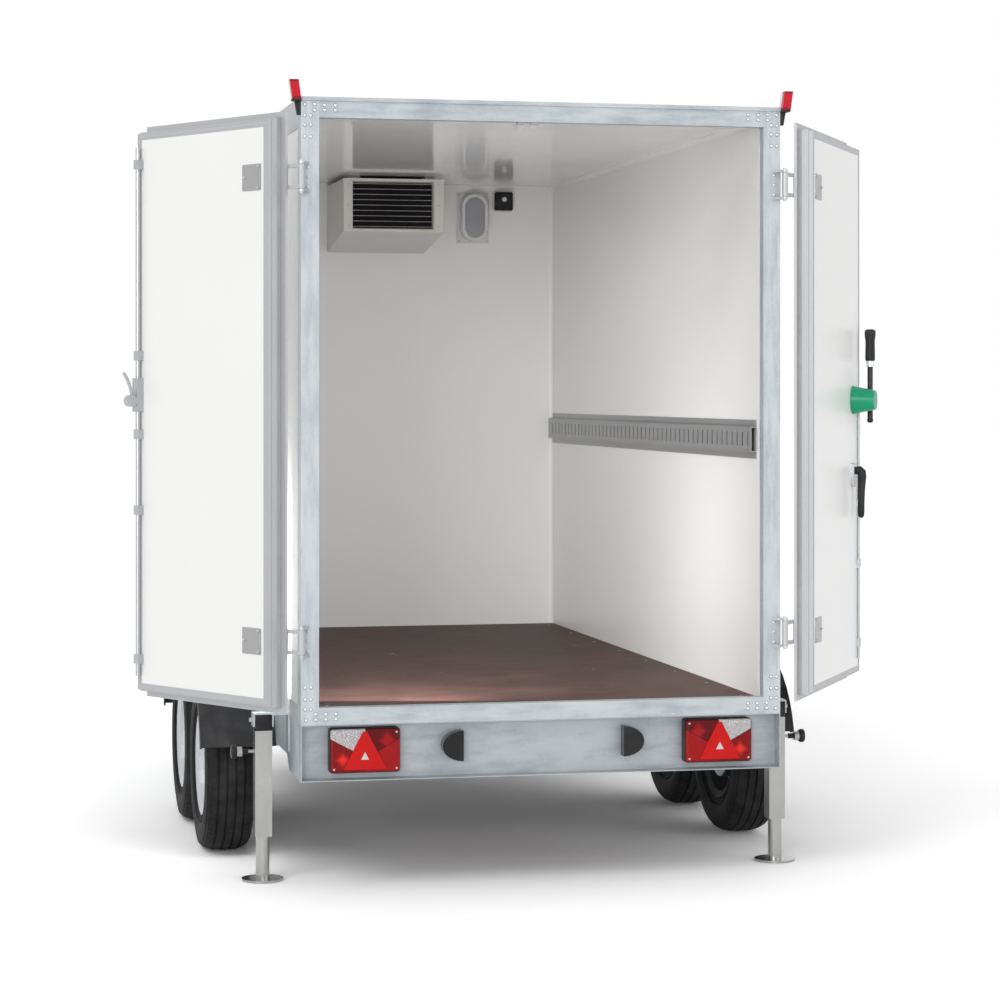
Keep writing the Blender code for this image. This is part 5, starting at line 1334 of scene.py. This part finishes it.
# In from the foot of the handle, up from its top, and the radius there
HANDLE_PATH = (
    (0.008, -0.030, 0.014),
    (0.018, -0.028, 0.0145),
    (0.028, -0.026, 0.016),
    (0.036, -0.034, 0.017),
    (0.038, -0.050, 0.016),
    (0.037, -0.075, 0.0145),
    (0.035, -0.110, 0.0135),
    (0.034, -0.150, 0.013),
    (0.034, -0.185, 0.013),
    (0.034, -0.200, 0.011),
    (0.034, -0.206, 0.004),
)
HANDLE_FLAT = 0.85
HANDLE_STOP = ((0, 0), (0.013, 0), (0.011, 0.006), (0, 0.006))
HANDLE_STOP_IN = 0.030
HANDLE_STOP_DOWN = 0.170
HANDLE_PLATE = (0.020, 0.045, 0.006)
HANDLE_PLATE_DOWN = 0.045
# Depth of each station of the plate, and its size across and up
HANDLE_PLATE_STATIONS = ((0, 1, 1), (0.009, 1, 1), (0.011, 0.9, 0.95))


def pull_handle():
    """Cranked pull handle of the right door: an arm out of a plate, bent into a flat grip."""
    low, high = door_box("door_handle_right", 1)
    along, face, top = (low[0] + high[0]) / 2, low[1], high[2]
    line = [(along, face + depth, top + up) for depth, up, _ in HANDLE_PATH]
    arm = tube(line, [radius for *_, radius in HANDLE_PATH], 24, HANDLE_FLAT, (1.0, 0.0, 0.0))
    seat = (along, face + HANDLE_STOP_IN, top - HANDLE_STOP_DOWN)
    stop = revolved(HANDLE_STOP, seat, FORWARDS, 20)
    stations = [
        ((along, face + depth, top - HANDLE_PLATE_DOWN), (wide, 0, 0), (0, 0, tall))
        for depth, wide, tall in HANDLE_PLATE_STATIONS
    ]
    plate = swept(rounded_box(*HANDLE_PLATE), stations)
    place = door_place(1)
    handle = moved(joined(arm, stop), place)
    node = "door_handle_right"
    add_piece("pull_handle", handle, BLACK, "door_right", [node])
    add_piece("handle_plate", moved(plate, place), ZINC, "door_right")


# Hinge and leg hardware

HINGE_BOLT = (0.0055, 0.003)
HINGE_BOLT_ACROSS = 0.829
HINGE_BOLT_UP = (-0.034, 0, 0.034)
LEAF_BOLT = (0.0055, 0.0035)
LEAF_BOLT_ALONG = 0.080
LEAF_BOLT_UP = (-0.024, 0.024)
LEAF = 0.004
CLAMP_IN = 0.331
CLAMP_UP = 0.562
CLAMP_BOLT = (0.008, 0.012)
KNOB_UP = 0.452
KNOB = (
    (0, -0.060),
    (0.0095, -0.060),
    (0.0095, -0.022),
    (0.0200, -0.020),
    (0.0242, -0.014),
    (0.0248, -0.007),
    (0.0225, -0.001),
    (0.012, 0.002),
    (0, 0.0025),
)


def hinge_bolts():
    """Round bolt heads on the frame halves and on the door leaves of the hinges."""
    fixed = [
        (side * HINGE_BOLT_ACROSS, REAR - LEAF + LIFT, height + v)
        for _, side in SIDES
        for height in HINGE_HEIGHTS
        for v in HINGE_BOLT_UP
    ]
    add_piece("hinge_bolts", rivets(fixed, *HINGE_BOLT), STEEL)
    leaf = [
        (LEAF_BOLT_ALONG, SKIN - LEAF + LIFT, height + v)
        for height in HINGE_HEIGHTS
        for v in LEAF_BOLT_UP
    ]
    for word, side in SIDES:
        heads = moved(rivets(leaf, *LEAF_BOLT), door_place(side))
        add_piece("leaf_bolts_" + word, heads, STEEL, "door_" + word)


def leg_hardware():
    """Clamp bolts through the leg brackets, and the screw knobs."""
    y = REAR + CLAMP_IN
    for word, side in SIDES:
        # The end of a box that lies further out
        end = 0 if side < 0 else 1
        bracket = abs(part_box("chassis_beam_" + word)[end][0])
        head = hex_head((side * (bracket - LIFT), y, CLAMP_UP), (side, 0, 0), *CLAMP_BOLT)
        add_piece("clamp_bolt_" + word, head, STEEL)
        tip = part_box("prop_leg_" + word)[end][0]
        knob = revolved(KNOB, (tip, y, KNOB_UP), (side, 0, 0), 32)
        add_piece("screw_knob_" + word, knob, BLACK)


# Machine on the front wall

GUARD_RINGS = (0.030, 0.165, 0.016)
GUARD_BAND = ((-0.0015, 0.0), (0, 0.003), (0.0015, 0.0), (-0.0015, 0.0))
GUARD_SPOKES = 4
GUARD_REACH = 0.160
SPOKE_RADIUS = 0.002


def machine_details():
    """Fan guard rings and spokes on the front of the condensing unit."""
    low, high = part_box("condensing_unit")
    centre = np.array(((low[0] + high[0]) / 2, high[1] + LIFT, (low[2] + high[2]) / 2))
    shapes = [
        revolved([(radius + u, v) for u, v in GUARD_BAND], centre, FORWARDS, 48)
        for radius in np.arange(*GUARD_RINGS)
    ]
    for i in range(GUARD_SPOKES):
        angle = math.pi * i / GUARD_SPOKES
        tip = np.array((math.cos(angle), 0, math.sin(angle))) * GUARD_REACH
        shapes.append(tube([centre - tip, centre, centre + tip], SPOKE_RADIUS, 6))
    add_piece("fan_guard", joined(*shapes), BLACK)


# Stage

FLOOR_REACH = 90.0
FLOOR_DROP = 0.001
FLOOR_LIFT = 0.42
WORLD_LIGHT = 0.60
# Strength, spread in degrees and heading
SUNS = {
    "key": (0.50, 24, (1.0, 1.0, -1.45)),
    "fill_left": (0.95, 20, (0.40, 0.90, -0.14)),
    "fill_right": (0.45, 40, (-0.75, 0.62, -0.20)),
}
INSIDE_LIGHT = 21
INSIDE_SIZE = (0.9, 0.7)
INSIDE_PLACE = (-0.58, REAR + 0.20, 1.00)
INSIDE_HEADING = (0.20, 1.0, 0.04)
SENSOR_MILLIMETRES = 36.0
LENS_MILLIMETRES = 97.06
LENS_SHIFT = -0.109
CAMERA_PLACE = (-2.153, REAR - 9.081, 1.714)
CAMERA_TURN = -0.216
CAMERA_REACH = 200.0


def studio_floor():
    """Pale floor that is brighter to the camera than it lights the trailer from below."""
    look = Look("floor_pale", (0.90, 0.90, 0.90), 0.9)
    plain = Value(look, look.shader.outputs[0])
    white, lift = (
        look.node("ShaderNodeBsdfDiffuse", inputs={"Color": (grey, grey, grey, 1)})
        for grey in (1, FLOOR_LIFT)
    )
    shown = look.node("ShaderNodeAddShader", inputs={0: white, 1: lift})
    mix = look.node("ShaderNodeMixShader", inputs={0: look.seen(), 1: plain, 2: shown})
    look.links.new(mix.socket, look.nodes["Material Output"].inputs["Surface"])
    mesh = bpy.data.meshes.new("studio_floor")
    corners = ((-1, -1), (1, -1), (1, 1), (-1, 1))
    points = [(x * FLOOR_REACH, y * FLOOR_REACH, -FLOOR_DROP) for x, y in corners]
    mesh.from_pydata(points, [], [(0, 1, 2, 3)])
    mesh.materials.append(look.material)
    floor = bpy.data.objects.new("studio_floor", mesh)
    bpy.context.scene.collection.objects.link(floor)


def surroundings():
    """White all round, which lights the trailer less than it shows."""
    world = bpy.data.worlds.new("studio_world")
    bpy.context.scene.world = world
    world.use_nodes = True
    sky = Tree(world.node_tree)
    inputs = {"Value": sky.seen(), "To Min": WORLD_LIGHT, "To Max": 1.0}
    strength = sky.node("ShaderNodeMapRange", inputs=inputs)
    background = sky.nodes["Background"]
    background.inputs["Color"].default_value = (1.0, 1.0, 1.0, 1)
    sky.links.new(strength.socket, background.inputs["Strength"])


def aimed(light, heading):
    """Adds a light that shines along a heading."""
    lamp = bpy.data.objects.new(light.name, light)
    lamp.rotation_euler = Vector(heading).to_track_quat("-Z", "Y").to_euler()
    bpy.context.scene.collection.objects.link(lamp)
    return lamp


def lights():
    """Three wide suns from behind, high on the left and low on both sides, and an inside lamp."""
    for name, (energy, spread, heading) in SUNS.items():
        sun = bpy.data.lights.new(name, "SUN")
        sun.energy = energy
        sun.angle = math.radians(spread)
        aimed(sun, heading)
    panel = bpy.data.lights.new("load_space_light", "AREA")
    panel.shape = "RECTANGLE"
    panel.size, panel.size_y = INSIDE_SIZE
    panel.energy = INSIDE_LIGHT
    inside = aimed(panel, INSIDE_HEADING)
    inside.location = INSIDE_PLACE
    inside.visible_camera = False
    inside.visible_glossy = False


def add_camera():
    """The photograph's camera: level, with its picture shifted down."""
    lens = bpy.data.cameras.new("camera")
    lens.sensor_width = SENSOR_MILLIMETRES
    lens.lens = LENS_MILLIMETRES
    lens.shift_y = LENS_SHIFT
    lens.clip_end = CAMERA_REACH
    camera = bpy.data.objects.new("camera", lens)
    camera.location = CAMERA_PLACE
    camera.rotation_euler = (math.pi / 2, 0, CAMERA_TURN)
    bpy.context.scene.collection.objects.link(camera)
    bpy.context.scene.camera = camera


NODE_LOOKS["door_bolt"] = bolt_look()
dress_nodes()
tyres()
wheel_details()
portal_rivets()
return_screws()
portal_details()
body_trims()
inner_coves()
rail_backs()
reflectors()
evaporator_details()
bulkhead_lamp_details()
door_details()
lever_details()
pull_handle()
hinge_bolts()
leg_hardware()
machine_details()

bpy.context.scene.view_settings.view_transform = "Standard"
studio_floor()
surroundings()
lights()
add_camera()
